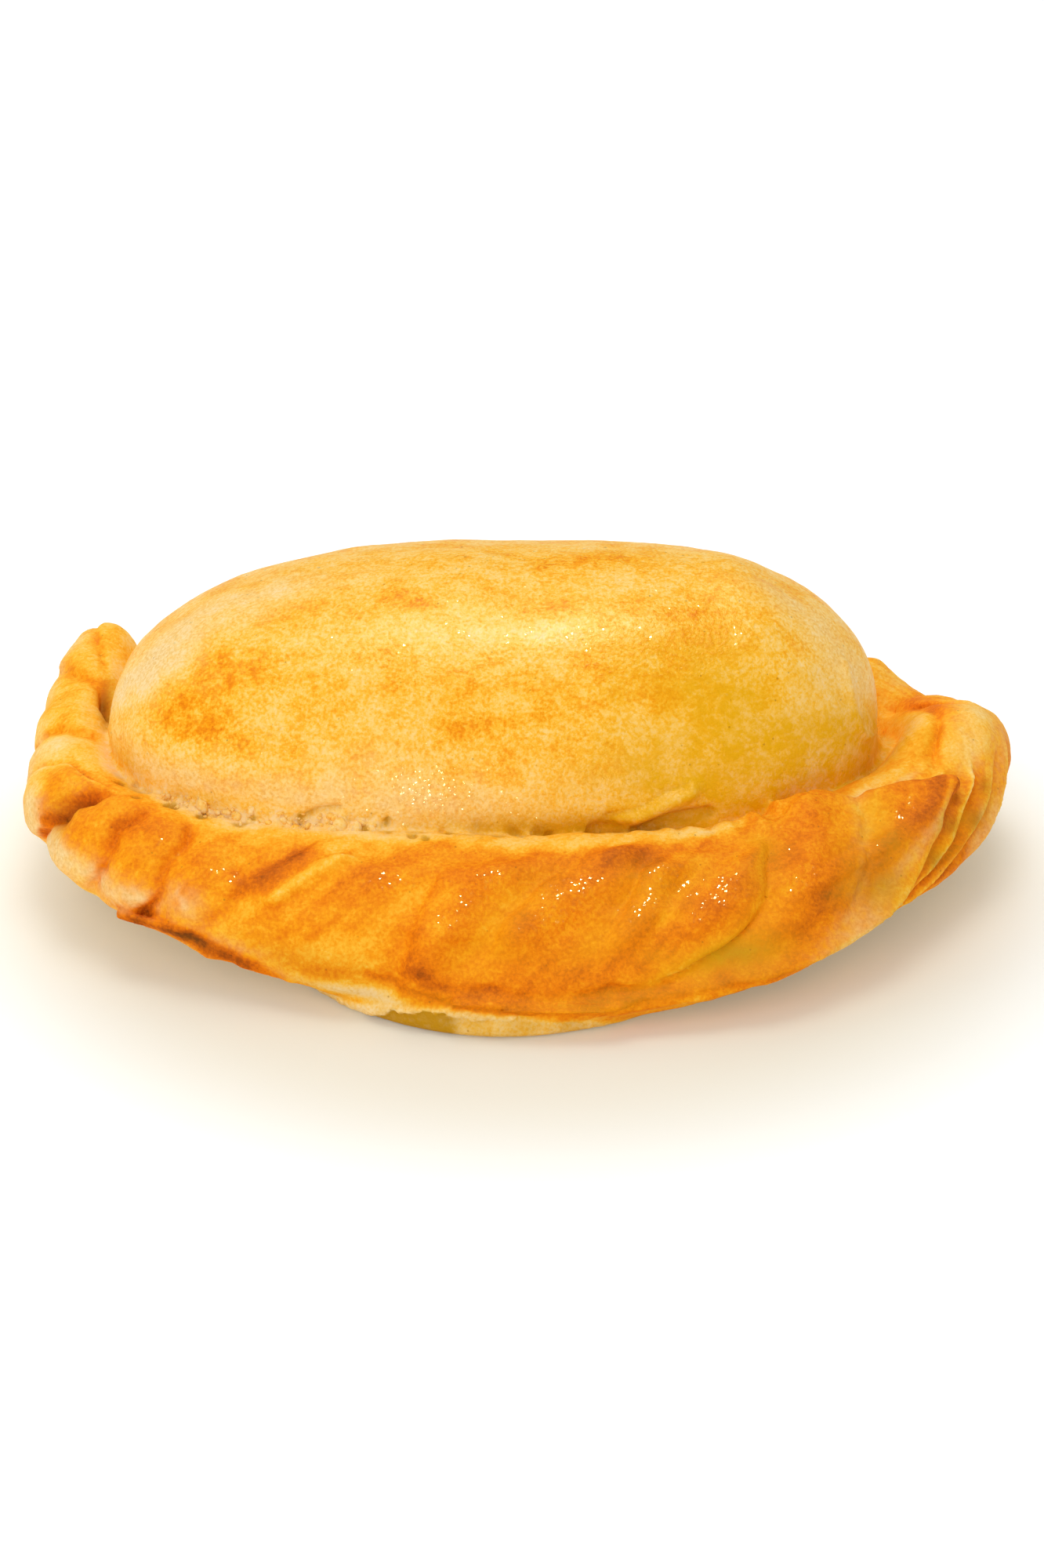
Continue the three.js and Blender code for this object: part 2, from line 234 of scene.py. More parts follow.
# Soft round spots, as two coordinates, the reach in each, and the amount. The coordinates are along and turn
# on the rope, and x and turn on the dome. First, where the dough is browner (below zero: paler).
ROPE_SPOTS = [
    (22.5, 88, 2, 12, 0.14), (29, 92, 2, 14, 0.12), (26, 108, 2.4, 9, -0.12), (26, 45, 4, 22, -0.1),
    (36, 95, 3, 26, -0.25), (42.5, 75, 2.2, 16, 0.08), (42.5, 55, 1.6, 20, -0.35), (45, 60, 1.8, 22, 0.25),
    (47.5, 20, 6, 20, -0.06), (51.5, 85, 3, 16, 0.14), (60, 88, 3, 16, 0.14), (67, 34, 3.2, 15, -0.12),
    (69, 84, 2.6, 14, 0.1), (68.3, 15, 3.8, 10, 0.7), (74, 8, 5, 8, 0.45), (61.5, 12, 3.6, 8, 0.4),
    (76, 0, 5, 6, 0.3), (5, 75, 3, 24, -0.06), (97.3, 46, 1.4, 7, 0.4), (96.5, 60, 1.2, 14, 0.1),
    (98, 86, 3, 22, -0.13), (79, 122, 3, 10, 0.1), (88, 8, 7, 12, -0.3), (104, 4, 9, 6, -0.15),
    (92, 12, 6, 8, -0.2), (107, 26, 5, 4, 0.1), (122, 31, 6, 4, 0.08), (116, 60, 5, 14, 0.06),
    (124, 124, 3, 8, 0.2), (128.5, 98, 2.4, 8, 0.14), (119, 115, 3, 7, 0.12), (106, 78, 2, 14, -0.08),
    (95, 98, 1.6, 9, -0.1), (90, 47, 4, 14, -0.16), (155, 75, 5, 20, 0.21), (168, 165, 14, 18, -0.16),
    (186, 155, 12, 20, -0.2), (112, 55, 8, 12, 0.06), (125, 112, 2.6, 10, 0.16), (134, 72, 2.4, 16, 0.06),
    (137, 25, 4, 10, 0.04), (131, 30, 4, 8, -0.12), (143.2, 66, 2.4, 8, 0.26), (141, 50, 3, 10, 0.16),
    (143, 90, 2.2, 12, 0.1), (166, 90, 2.4, 10, 0.22), (163, 104, 3, 8, 0.14), (162, 78, 3, 10, 0.14),
    (133, 143, 6, 8, -0.2), (155, 100, 4, 14, -0.08), (166, 130, 4, 10, -0.24), (160, 138, 4, 9, -0.2),
    (153.5, 80, 2, 14, -0.05), (111, 95, 4, 8, -0.1), (124, 36, 6, 13, -0.08), (134, 20, 5, 9, -0.15),
    (157, 24, 10, 13, -0.02), (77, 82, 3, 14, 0.15), (52.2, 54, 2.5, 14, 0.12), (124, 70, 2, 7, 0.1),
    (126.5, 103, 2.5, 7, -0.08), (140, 101, 2, 9, 0.13), (146, 60, 3, 14, 0.2), (161, 86, 3, 12, 0.05),
    (192, 140, 4, 14, 0.22), (201, 75, 3, 16, 0.15), (186, 134, 3.5, 12, 0.25), (173.5, 111, 3, 8, -0.1),
    (171, 30, 8, 14, -0.12), (183, 60, 4, 20, 0.06), (110, 6, 14, 8, -0.1), (134, 24, 5, 5, 0.06),
    (174, 95, 4, 22, -0.2), (183, 85, 5, 20, -0.16), (186, 50, 4, 18, -0.05), (180, 112, 3, 10, 0.06),
    (187, 118, 3.6, 12, 0.14), (195.5, 125, 3, 12, 0.16), (198, 112, 3, 14, 0.12),
]
# In DOME_SPOTS, the paler spot at x 45, turn 165 is painted light: it lifts the shade in the trough behind
# the dome's right end.
DOME_SPOTS = [
    (-43, 141, 4.5, 11, 0.3), (-39, 125, 4.5, 8, 0.24), (-46, 133, 3, 8, 0.16), (-34, 150, 5, 5, 0.1),
    (-50, 116, 8, 16, -0.3), (-36, 95, 12, 9, -0.12), (0, 119, 14, 5, -0.1), (-9, 135, 6, 5, 0.06),
    (1, 137, 6, 4, 0.08), (-15, 108, 6, 4, 0.16), (6, 108, 7, 4, 0.1), (20, 110, 7, 5, 0.14),
    (-28, 104, 6, 6, 0.08), (-5, 146, 8, 5, 0.1), (16, 128, 7, 8, 0.18), (26, 122, 6, 9, 0.14),
    (20, 140, 7, 7, 0.14), (8, 88, 8, 6, 0.15), (41, 120, 6, 26, -0.1), (-25, 138, 6, 6, 0.06),
    (6, 152, 8, 5, 0.04), (-42, 156, 6, 5, -0.06), (45, 165, 6, 14, -0.42), (32, 174, 12, 7, -0.05),
    (-33, 128, 4, 6, 0.1),
]
# Where it is olive, and where it is sandy.
OLIVE_SPOTS = [
    (34, 158, 8, 12, 0.9), (22, 165, 12, 7, 0.8), (6, 174, 12, 4, 0.9), (-8, 176, 9, 3, 0.7),
    (43, 160, 5, 12, 0.9), (26, 140, 10, 20, 0.65), (18, 132, 10, 14, 0.3), (16, 155, 9, 8, 0.4),
    (-52, 168, 4, 8, 0.35), (-40, 172, 4, 3, 0.4), (46, 168, 5, 14, 1.2), (29, 177, 15, 8, 1),
    (51, 160, 7, 30, 1),
]
ROPE_OLIVE_SPOTS = [
    (137, 39, 4, 10, 0.3), (132, 50, 4, 10, 0.35), (128.5, 44, 4, 10, 0.3), (155.5, 88, 2.5, 14, 0.6),
    (157, 110, 2, 10, 0.5), (155, 68, 3, 10, 0.35), (162, 45, 2.5, 10, 0.5), (168, 52, 2, 10, 0.5),
    (172, 38, 3, 10, 0.45), (165, 30, 3, 10, 0.4), (124, 57, 3, 8, 0.3), (116, 30, 9, 7, 0.25),
    (102, 25, 9, 8, 0.25), (24, 136, 5, 12, 0.5), (140, 118, 2.2, 10, 0.3), (180, 158, 14, 16, 0.8),
    (150, 80, 2.5, 14, 0.3), (152, 45, 3, 12, 0.6), (147, 62, 3, 10, 0.4), (132.8, 42, 4, 8, 0.25),
    (186, 30, 4, 14, 0.3), (176, 128, 4, 10, 0.4), (112, 60, 7, 12, 0.12),
]
ROPE_SANDY_SPOTS = [
    (58.5, 24, 5, 13, 0.3), (53.5, 34, 4, 14, 0.4), (43, 50, 3, 18, 0.8), (46, 20, 5, 16, 0.6),
    (61, 38, 2.6, 10, 0.6), (67.5, 52, 2.4, 14, 0.7), (36, 60, 3, 22, 0.6), (31, 50, 5, 14, 0.5),
    (19, 52, 5, 14, 0.4), (9, 60, 5, 16, 0.4), (75, 25, 4, 8, 0.3), (178, 100, 6, 16, 0.4),
    (186, 100, 5, 20, 0.4), (171, 40, 2, 8, 0.5), (175, 80, 3, 12, 0.35), (165, 117, 3.4, 6, 0.7),
    (159.5, 130, 3, 7, 0.6), (88, 8, 8, 9, 0.7), (36, 95, 3, 22, 0.45), (50, 40, 3, 10, 0.4),
    (182, 45, 8, 20, 0.45), (171, 20, 9, 14, 0.6), (182, 75, 8, 22, 0.3), (192, 60, 6, 25, 0.5),
    (153, 30, 6, 8, 0.3), (204, 80, 4, 30, 0.5), (112, 6, 16, 8, 0.2), (9, 60, 6, 40, 0.35),
    (48, 95, 3, 14, 0.25),
]
SANDY_SPOTS = [
    (-45, 166, 9, 10, 0.8), (-10, 168, 12, 9, 0.75), (-28, 166, 9, 7, 0.65), (-52, 150, 4, 12, 0.4),
    (43, 118, 6, 26, 0.75), (-49, 112, 8, 18, 0.95), (-34, 92, 14, 10, 0.6), (-20, 155, 8, 7, 0.35),
    (30, 96, 8, 8, 0.35), (14, 160, 8, 6, 0.35), (36, 100, 6, 12, 0.4), (-36, 106, 8, 6, 0.35),
]
# Where the rope is darker, as painted shade: in the wedges between folds, in creases and the hollow, on the
# face of the point and low on the rope's face. Then where the skin has beads of glaze, and where the dome has
# a soft sheen.
SHADE_SPOTS = [
    (156, 70, 6, 18, 0.16), (84, 30, 8, 16, 0.16), (90, 6, 8, 8, 0.12), (148, 40, 8, 20, 0.12),
    (171, 40, 6, 20, 0.14), (24, 136, 5, 12, 0.6), (136, 90, 3, 12, 0.1), (48, 62, 1.8, 22, 0.35),
    (68, 12, 3, 7, 0.35), (168.3, 73, 1.2, 7, 0.35), (165, 59, 1.3, 8, 0.4), (160.8, 42, 1.5, 8, 0.4),
    (150, 62, 2.5, 16, 0.14), (153, 49, 3, 9, 0.25), (163, 67, 2.4, 9, 0.25), (173.5, 56, 1.2, 6, 0.35),
    (169.5, 44, 1.3, 8, 0.35), (133, 44, 4, 10, 0.32), (147, 58, 3.5, 12, 0.1),
]
WET_SPOTS = [
    (102.5, 92, 2.2, 8, 1), (104.5, 105, 1.5, 5, 1), (100, 82, 1.3, 5, 0.8), (113, 92, 2.8, 8, 1),
    (116.5, 103, 2.2, 7, 1), (110.3, 82, 1.3, 5, 0.8), (124.5, 97, 2, 14, 1), (122, 84, 1.4, 9, 0.8),
    (128, 104, 2.6, 8, 1), (133, 86, 2.6, 9, 1), (129.5, 74, 1.6, 7, 0.8), (71.6, 84, 2.4, 8, 0.6),
    (61.7, 88, 2.4, 8, 0.6), (79.6, 92, 2.2, 8, 0.7), (91.5, 98, 3.2, 7, 0.7), (160, 92, 3.4, 9, 0.5),
    (143, 80, 2, 14, 0.5), (139, 100, 2, 7, 0.5), (161, 70, 3, 8, 0.4), (188, 110, 4, 12, 0.2),
]
DOME_WET_SPOTS = [
    (6, 122, 9, 5, 0.15), (-12, 163, 5, 6, 0.95), (-33, 149, 5, 5, 0.7), (-44, 171, 3, 3, 0.8),
    (-1, 170, 2, 5, 0.7),
]
DOME_SHEEN_SPOTS = [
    (8, 120, 10, 8, 1), (-14, 160, 9, 9, 0.6), (24, 112, 10, 8, 0.4),
]
# Pits in the torn seam: working x, y, z and radius.
PITS = [
    (-52.5, 0, 18.8, 0.6), (-50, -4.3, 19, 0.4), (-45.2, -5.6, 19, 1.0), (-41, -8.3, 18.7, 0.7),
    (-36.2, -9.7, 18.6, 0.7), (-34.8, -9.2, 18.8, 0.5), (-28.3, -9.5, 19, 0.5), (-24, -11, 18.8, 0.5),
    (-20.2, -11.5, 18.8, 0.6), (-17.4, -10.6, 19, 0.5), (-14, -13, 18.5, 0.6), (-12.4, -13.8, 18.6, 0.5),
    (-9.3, -11.9, 18.1, 0.7), (-6.8, -12.3, 18.1, 0.6), (-2.8, -12.3, 18.3, 0.7), (-0.2, -12, 18.3, 0.8),
]
# Height at which the torn edge of the pale outer sheet ends on the belly, working x and z.
SHEET_EDGE = [(-30, -2.0), (-21, -0.5), (-17, 1.8), (-13, 2.8), (2, 3.4), (14, 3.6)]
# How the seam between rope and dome changes with x: how torn it is, and how far it is filled, mm.
TORN = [(-60, 0), (-54, 0.1), (-40, 1), (-24, 1), (-16, 0.3), (6, 0.3), (20, 0.1), (60, 0)]
SEAM_FILL = [(-60, 1), (-54, 1.6), (-40, 2.6), (-24, 2.4), (-16, 1.8), (6, 1.8), (20, 2.2), (60, 2.6)]
# How the rope changes along its length: how brown it is, how sandy its lower half is, how pale is the strip
# at its inner edge (most of it, and a part at the left), and how much paler its lower edge is.
ROPE_BROWNING = [(0, 0.3), (15, 0.34), (30, 0.34), (45, 0.4), (60, 0.52), (75, 0.55), (90, 0.58), (100, 0.62),
                 (125, 0.64), (140, 0.62), (150, 0.57), (160, 0.57), (168, 0.57), (175, 0.46), (190, 0.42),
                 (197, 0.5), (206, 0.4)]
ROPE_LOWER_SANDY = [(4, 0.5), (15, 1), (55, 1), (70, 0.5), (84, 0)]
PALE_STRIP = [(20, 0.3), (50, 1), (135, 1), (148, 0.3), (156, 0)]
PALE_STRIP_LEFT = [(58, 0), (66, 1), (84, 1), (92, 0)]
PALE_LOWER_EDGE = [(0, 0.15), (50, 0.1), (75, 0.05), (100, 0.16), (120, 0.12), (170, 0.06), (200, 0.1)]
FIBRE_SLANT = [(50, 0), (75, 0.1), (100, 0.16), (160, 0.2)]  # mm along the rope per degree of turn

# --- Small tools --------------------------------------------------------------------------------------
def smoothstep(low, high, value):
    t = np.clip((value - low) / (high - low), 0, 1)
    return t * t * (3 - 2 * t)


def profile(knots, at):
    """The value at each place, on straight lines between the given (place, value) knots."""
    place, value = np.array(knots, float).T
    return np.interp(at, place, value)


def smooth_min(a, b, radius):
    """The lower of two distances, with the corner between them filled over about that radius."""
    blend = np.maximum(radius - np.abs(a - b), 0) / radius
    return np.minimum(a, b) - blend * blend * radius / 4


def catmull_rom(points, t):
    """Points on the curve through all the given points, for t from 0 to 1."""
    whole = np.clip(t, 0, 1) * (len(points) - 1)
    i = np.minimum(whole.astype(int), len(points) - 2)
    w = (whole - i)[:, None]
    ends = np.vstack([2 * points[0] - points[1], points, 2 * points[-1] - points[-2]])
    before, start, end, after = ends[i], ends[i + 1], ends[i + 2], ends[i + 3]
    v0, v1 = (end - before) / 2, (after - start) / 2
    return (start + v0 * w + (3 * (end - start) - 2 * v0 - v1) * w**2
            + (2 * (start - end) + v0 + v1) * w**3)


def cell_corners(w):
    """The eight corners of a grid cell, each with its share at the places w inside the cell."""
    for corner in range(8):
        step = np.array([corner & 1, corner >> 1 & 1, corner >> 2 & 1])
        yield step, np.prod(np.where(step, w, 1 - w), axis=1)


def noise(points, size, seed):
    """Smooth noise from -1 to 1 at each point, with lumps of about that size."""
    lattice = np.random.default_rng(seed).uniform(-1, 1, (32, 32, 32)).astype(np.float32)
    at = np.asarray(points, np.float32) / size + 1000
    cell = np.floor(at).astype(int)
    w = at - cell
    w = w * w * (3 - 2 * w)
    total = np.zeros(len(at), np.float32)
    for step, share in cell_corners(w):
        index = (cell + step) % 32
        total += share * lattice[index[:, 0], index[:, 1], index[:, 2]]
    return total


def fractal(points, size, seed, octaves=3):
    """Noise with finer and weaker octaves added."""
    layers = [noise(points, size / 2**k, seed + k) / 2**k for k in range(octaves)]
    return sum(layers) / sum(1 / 2**k for k in range(octaves))


def cells(points, size, seed):
    """Distance from each point to the nearest of many scattered centres, in cell sizes."""
    jitter = np.random.default_rng(seed).uniform(0, 1, (16, 16, 16, 3)).astype(np.float32)
    at = np.asarray(points, np.float32) / size + 1000
    home = np.floor(at).astype(int)
    best = np.full(len(at), 9.0, np.float32)
    for step in np.ndindex(3, 3, 3):
        cell = home + np.array(step) - 1
        index = cell % 16
        centre = cell + jitter[index[:, 0], index[:, 1], index[:, 2]]
        best = np.minimum(best, ((at - centre) ** 2).sum(1))
    return np.sqrt(best)


# --- The rope -----------------------------------------------------------------------------------------
class Rope:
    """The rope's middle line, sampled finely, and the map from a place to the rope's own coordinates."""

    STEP = 0.25  # mm

    def __init__(self):
        rough = catmull_rom(ROPE_SECTIONS, np.linspace(0, 1, 2001))
        length = np.r_[0, np.cumsum(np.linalg.norm(np.diff(rough[:, :3], axis=0), axis=1))]
        self.along = np.arange(0, length[-1], self.STEP)
        t = np.interp(self.along, length, np.linspace(0, 1, 2001))
        sections = catmull_rom(ROPE_SECTIONS, t)
        self.centre, self.size = sections[:, :3], sections[:, 3:]
        forward = np.gradient(self.centre[:, :2], axis=0)
        self.forward = forward / np.linalg.norm(forward, axis=1, keepdims=True)

    def plan(self, x, y):
        """Nearest sample of the middle line to each plan point, by index."""
        flat = np.stack([x.ravel(), y.ravel()], 1).astype(np.float32)
        line = self.centre[:, :2].astype(np.float32)
        nearest = np.empty(len(flat), int)
        for k in range(0, len(flat), 8192):
            part = flat[k:k + 8192]
            gap = (part**2).sum(1)[:, None] - 2 * part @ line.T + (line**2).sum(1)
            nearest[k:k + 8192] = gap.argmin(1)
        return nearest.reshape(x.shape)

    def place(self, x, y, z, nearest):
        """Distance along the rope, turn round its section in degrees (0 the outer edge, 90 the middle of
        the face, 180 the inner edge) and distance from its plain skin."""
        cx, cy, cz = (self.centre[nearest, k].astype(np.float32) for k in range(3))
        fx, fy = (self.forward[nearest, k].astype(np.float32) for k in range(2))
        width, thickness, tilt = (self.size[nearest, k].astype(np.float32) for k in range(3))
        ahead = (x - cx) * fx + (y - cy) * fy
        outward = (x - cx) * fy - (y - cy) * fx
        along = self.along[nearest].astype(np.float32) + np.clip(ahead, -self.STEP, self.STEP) + START
        beyond = ahead - np.clip(ahead, -self.STEP, self.STEP)
        lean = np.radians(tilt)
        across = outward * np.cos(lean) - (z - cz) * np.sin(lean)
        face = outward * np.sin(lean) + (z - cz) * np.cos(lean)
        a, f, b = across / width, face / thickness, beyond / thickness
        radius = np.sqrt(a * a + f * f + b * b) + 1e-6
        steepness = np.sqrt((a / width) ** 2 + (f / thickness) ** 2 + (b / thickness) ** 2) / radius
        distance = (radius - 1) / np.maximum(steepness, 0.03)
        return along, np.degrees(np.arctan2(f, a)), distance

    def surface(self, along, turn, above=0.0):
        """The working place at a turn of the rope's skin, raised by so many mm."""
        i = int(round((along - START) / self.STEP))
        width, thickness, tilt = self.size[i]
        lean, turn = math.radians(tilt), math.radians(turn)
        outward = np.array([self.forward[i, 1], -self.forward[i, 0], 0])
        up = np.array([0, 0, 1])
        across = outward * math.cos(lean) - up * math.sin(lean)
        face = outward * math.sin(lean) + up * math.cos(lean)
        return (self.centre[i] + across * (width + above) * math.cos(turn)
                + face * (thickness + above) * math.sin(turn))


rope = Rope()
MM_PER_DEGREE = 0.14  # round the rope's section, on average


def whole_turn(turn):
    """Turns from -90 to 270, so that the inner edge is in one piece."""
    return np.where(turn < -90, turn + 360, turn)


class Stroke:
    """A line across the rope, and what it does to the dough beside it."""

    REACH = 13.0  # how far from the line anything is worked out, mm
    BEYOND = 30.0  # how far its direction is followed past its ends, degrees

    def __init__(self, name, path, width, groove=0.0, height=0.0, lap=0.0, reach=5.0, tone=0.0, rim=0.0,
                 shade=0.0, pale=0.0, olive=0.0, fade=11.0):
        self.name, self.width, self.groove, self.height = name, width, groove, height
        self.lap, self.reach, self.fade = lap, reach, fade
        self.tone, self.rim, self.shade, self.pale, self.olive = tone, rim, shade, pale, olive
        path = np.array(path, float)
        first = (path[0] - path[1]) / (path[1, 1] - path[0, 1])
        last = (path[-1] - path[-2]) / (path[-1, 1] - path[-2, 1])
        line = np.vstack([path[0] + first * self.BEYOND, catmull_rom(path, np.linspace(0, 1, 60)),
                          path[-1] + last * self.BEYOND])
        self.turn = np.arange(line[0, 1], line[-1, 1])
        self.place = np.interp(self.turn, line[:, 1], line[:, 0])
        # It wavers and comes and goes a little, by the same draws each run.
        knots = np.arange(-60, 260, 13)
        random = np.random.default_rng(int(10 * path[0, 0]))
        self.place = self.place + np.interp(self.turn, knots, random.uniform(-0.35, 0.35, len(knots)))
        self.strength = np.interp(self.turn, knots, random.uniform(0.65, 1.25, len(knots)))
        self.slope = np.gradient(self.place) / MM_PER_DEGREE
        self.start, self.end = path[0, 1], path[-1, 1]

    def near(self, along):
        """Which points are near enough to be changed."""
        first, last = self.place.min() - self.REACH, self.place.max() + self.REACH
        return np.flatnonzero((along > first) & (along < last))

    def distance(self, along, turn):
        """Signed distance from the line, and how fully the line is there at each turn."""
        at = np.interp(turn, self.turn, self.place)
        slope = np.interp(turn, self.turn, self.slope)
        present = (smoothstep(self.start - self.fade, self.start + self.fade, turn)
                   * smoothstep(self.end + self.fade, self.end - self.fade, turn))
        present = present * np.interp(turn, self.turn, self.strength)
        return (along - at) / np.sqrt(1 + slope**2), present

    def relief(self, along, turn):
        """How far the line raises the dough, mm."""
        d, present = self.distance(along, turn)
        cut = self.groove * np.exp(-np.abs(d) / self.width)
        raised = 1 / (1 + np.exp(np.clip(np.sign(self.lap) * d / 0.25, -30, 30)))
        fading = smoothstep(self.REACH - 1, self.REACH / 3, np.abs(d))
        lap = abs(self.lap) * raised * np.exp(-np.abs(d) / self.reach) * fading
        return present * (lap - cut + self.height * np.exp(-(d / self.width) ** 2))

    def browning(self, along, turn):
        """How much browner the line makes the dough, with painted shadow under a raised edge."""
        d, present = self.distance(along, turn)
        low = d if self.lap >= 0 else -d
        line = self.tone * np.exp(-(d / self.width) ** 2)
        rim = self.rim * np.exp(-((low + 0.7) / 0.6) ** 2)
        # Above zero, shade is painted shadow on the dough under the raised edge.
        shade = self.shade * np.where(low > 0, np.exp(-low / 1.2), 0)
        return present * (line + rim + shade)

    def tint(self, along, turn):
        """How sandy and how olive the line makes the dough."""
        d, present = self.distance(along, turn)
        sandy = self.pale * present * np.exp(-(d / self.width) ** 2)
        return sandy, self.olive * present * np.exp(-(d / 2.3) ** 2)


STROKES = [Stroke(**row) for row in CREASES + RIDGES]


def rim_share(rim, along, turn):
    """How fully a line along the rope is there at each point, and its height there. It wavers, and comes and
    goes."""
    place, angle, height = np.array(rim["points"], float).T
    steps = np.arange(0, 210, 1.5)
    waver = np.random.default_rng(int(place[0])).uniform(-1, 1, (2, len(steps)))
    angle = np.interp(along, place, angle) + 3 * np.interp(along, steps, waver[0])
    d = (turn - angle) * MM_PER_DEGREE
    ends = smoothstep(place[0] - 2, place[0] + 2, along) * smoothstep(place[-1] + 2, place[-1] - 2, along)
    ends = ends * (0.65 + 0.45 * np.interp(along, steps, waver[1]))
    return ends * np.exp(-(d / rim["width"]) ** 2), np.interp(along, place, height)


def fold_relief(along, turn):
    """How far the folds stand above the plain rope, mm."""
    turn = whole_turn(turn)
    relief = np.zeros(along.shape)
    for stroke in STROKES:
        i = stroke.near(along)
        relief[i] += stroke.relief(along[i], turn[i])
    for rim in RIMS:
        share, height = rim_share(rim, along, turn)
        relief += share * height
    return relief


def segment_distance(p, start, end):
    """Distance of each point from a straight line between two places."""
    edge = end - start
    t = np.clip((p - start) @ edge / (edge @ edge), 0, 1)
    return np.linalg.norm(p - start - t[:, None] * edge, axis=1)


def triangle_distance(p, corners):
    """Distance of each point from a flat triangle."""
    a, b, c = corners
    sides = (a, b), (b, c), (c, a)
    best = np.min([segment_distance(p, *side) for side in sides], axis=0)
    normal = np.cross(b - a, c - a)
    normal /= np.linalg.norm(normal)
    inside = np.all([(p - start) @ np.cross(normal, end - start) >= 0 for start, end in sides], axis=0)
    return np.where(inside, np.abs((p - a) @ normal), best)


# --- Distance field -----------------------------------------------------------------------------------
def torn_share(x):
    """How torn the seam is at each place along the front."""
    return profile(TORN, x)


def pit_distance(places):
    """Distance of each point from the nearest pit in the seam: below zero inside."""
    bent = places + 0.45 * np.stack([noise(places, 1.0, 64 + k) for k in range(3)], 1)
    best = np.full(len(places), 9.0, np.float32)
    for x, y, z, radius in PITS:
        best = np.minimum(best, np.linalg.norm(bent - np.array([x, y, z], np.float32), axis=1) - radius)
    return best


def axis_of(low, high):
    return np.arange(low, high + PITCH, PITCH, dtype=np.float32)


def metric(field):
    """A field whose zero is the surface, scaled to be about millimetres near it."""
    gx, gy, gz = np.gradient(field, PITCH)
    return field / np.maximum(np.sqrt(gx * gx + gy * gy + gz * gz), 0.02)


def dome_field(x, y, z):
    """The filled part. Its sections shrink towards the ends by different rules at the front, back and top."""
    t = np.abs((x - DOME["left"]) / (DOME["right"] - DOME["left"]) * 2 - 1)
    left = x < (DOME["left"] + DOME["right"]) / 2
    front = y < DOME["ridge_y"]
    spring = DOME["spring"] + DOME["spring_rise"] * np.minimum(t, 1.1) ** 2
    upper = z > spring
    reach = np.where(front, DOME["ridge_y"] - DOME["front"], DOME["back"] - DOME["ridge_y"])
    lift = np.where(upper, DOME["height"] - DOME["spring"], DOME["spring"])
    across, up = (y - DOME["ridge_y"]) / reach, (z - spring) / lift
    rho_squared = across**2 + up**2 + 1e-6
    share = up**2 / rho_squared

    def rule(k):
        back = TAPER["back"][k]
        side = np.where(front, np.where(left, TAPER["left_front"][k], TAPER["right_front"][k]), back)
        top = np.where(upper, np.where(left, TAPER["left_top"][k], TAPER["right_top"][k]), back)
        return side * (1 - share) + top * share

    return metric((t ** rule(0) + rho_squared ** (0.5 / rule(1)) - 1).astype(np.float32))


def web_field(x, y, z, nearest_height, inside_distance):
    """The sealed dough between dome and rope: a sheet about the rope's height that fills the outline."""
    sheet = np.abs(z - nearest_height + WEB_DEPTH) - WEB_HALF_THICKNESS
    return -smooth_min(-sheet, inside_distance, WEB_BLEND)


def belly_field(x, y, z):
    return metric(np.sqrt(((x - BELLY["centre_x"]) / BELLY["half_length"]) ** 2
                          + ((y - BELLY["centre_y"]) / BELLY["half_depth"]) ** 2
                          + ((z - BELLY["middle_z"]) / BELLY["half_height"]) ** 2) - 1)


def crust_field():
    """The distance field of the whole crust on a regular grid, and the grid's lowest corner."""
    xs, ys, zs = (axis_of(*ends) for ends in GRID)
    x, y, z = xs[:, None, None], ys[None, :, None], zs[None, None, :]
    plan_x, plan_y = np.meshgrid(xs, ys, indexing="ij")
    nearest = rope.plan(plan_x, plan_y)[:, :, None]
    along, turn, ropes = rope.place(x, y, z, nearest)
    near = np.abs(ropes) < 5
    along = np.broadcast_to(along, ropes.shape)
    ropes[near] -= fold_relief(along[near], turn[near])
    dome = dome_field(x, y, z + 0 * x)
    belly = belly_field(x, y, z)

    # Web: inside the outline made of the rope's middle line and the folded back.
    outline = np.vstack([rope.centre[::8], np.array(WEB_BACK, float)])
    edge, height = outline_distance(plan_x, plan_y, outline)
    web = web_field(x, y, z, height[:, :, None], edge[:, :, None])
    body = smooth_min(smooth_min(dome, web, BODY_BLEND), belly, BODY_BLEND)
    for point in POINTS:
        corners = [rope.surface(*corner) for corner in point["corners"]]
        middle = np.mean(corners, axis=0)
        around = np.nonzero((np.abs(x - middle[0]) < 18) & (np.abs(y - middle[1]) < 18) & (z > -5))
        places = np.stack([xs[around[0]], ys[around[1]], zs[around[2]]], 1)
        distance = triangle_distance(places, corners) - point["radius"]
        ropes[around] = smooth_min(ropes[around], distance, point["blend"])

    # The seam between rope and dome is filled, then torn into crumbs and holes, most of all at the left.
    fill = profile(SEAM_FILL, xs).astype(np.float32)[:, None, None]
    whole = smooth_min(body, ropes, fill)
    seam = np.nonzero((body**2 + ropes**2 < 12) & (z > 12))
    places = np.stack([xs[seam[0]], ys[seam[1]], zs[seam[2]]], 1)
    near = np.exp(-(body[seam] ** 2 + ropes[seam] ** 2) / 2.6) * smoothstep(13, 15, places[:, 2])
    crumbs = 0.9 * (cells(places, 2.5, 51) - 0.5) + 0.35 * (cells(places, 0.9, 52) - 0.5)
    bent = places + 0.5 * np.stack([noise(places, 1.3, 53 + k) for k in range(3)], 1)
    holes = smoothstep(0.45, 0.2, cells(bent, 2.3, 5))
    torn = torn_share(places[:, 0])
    rough = whole[seam] + near * (0.3 + torn * (1.0 * crumbs + 0.7 * holes + 0.4 * noise(places, 3.5, 6)))
    whole[seam] = -smooth_min(-rough, pit_distance(places), 0.5)
    whole = -smooth_min(-whole, z + 0 * whole, BASE_BLEND)
    return whole, body, ropes, np.array([xs[0], ys[0], zs[0]])


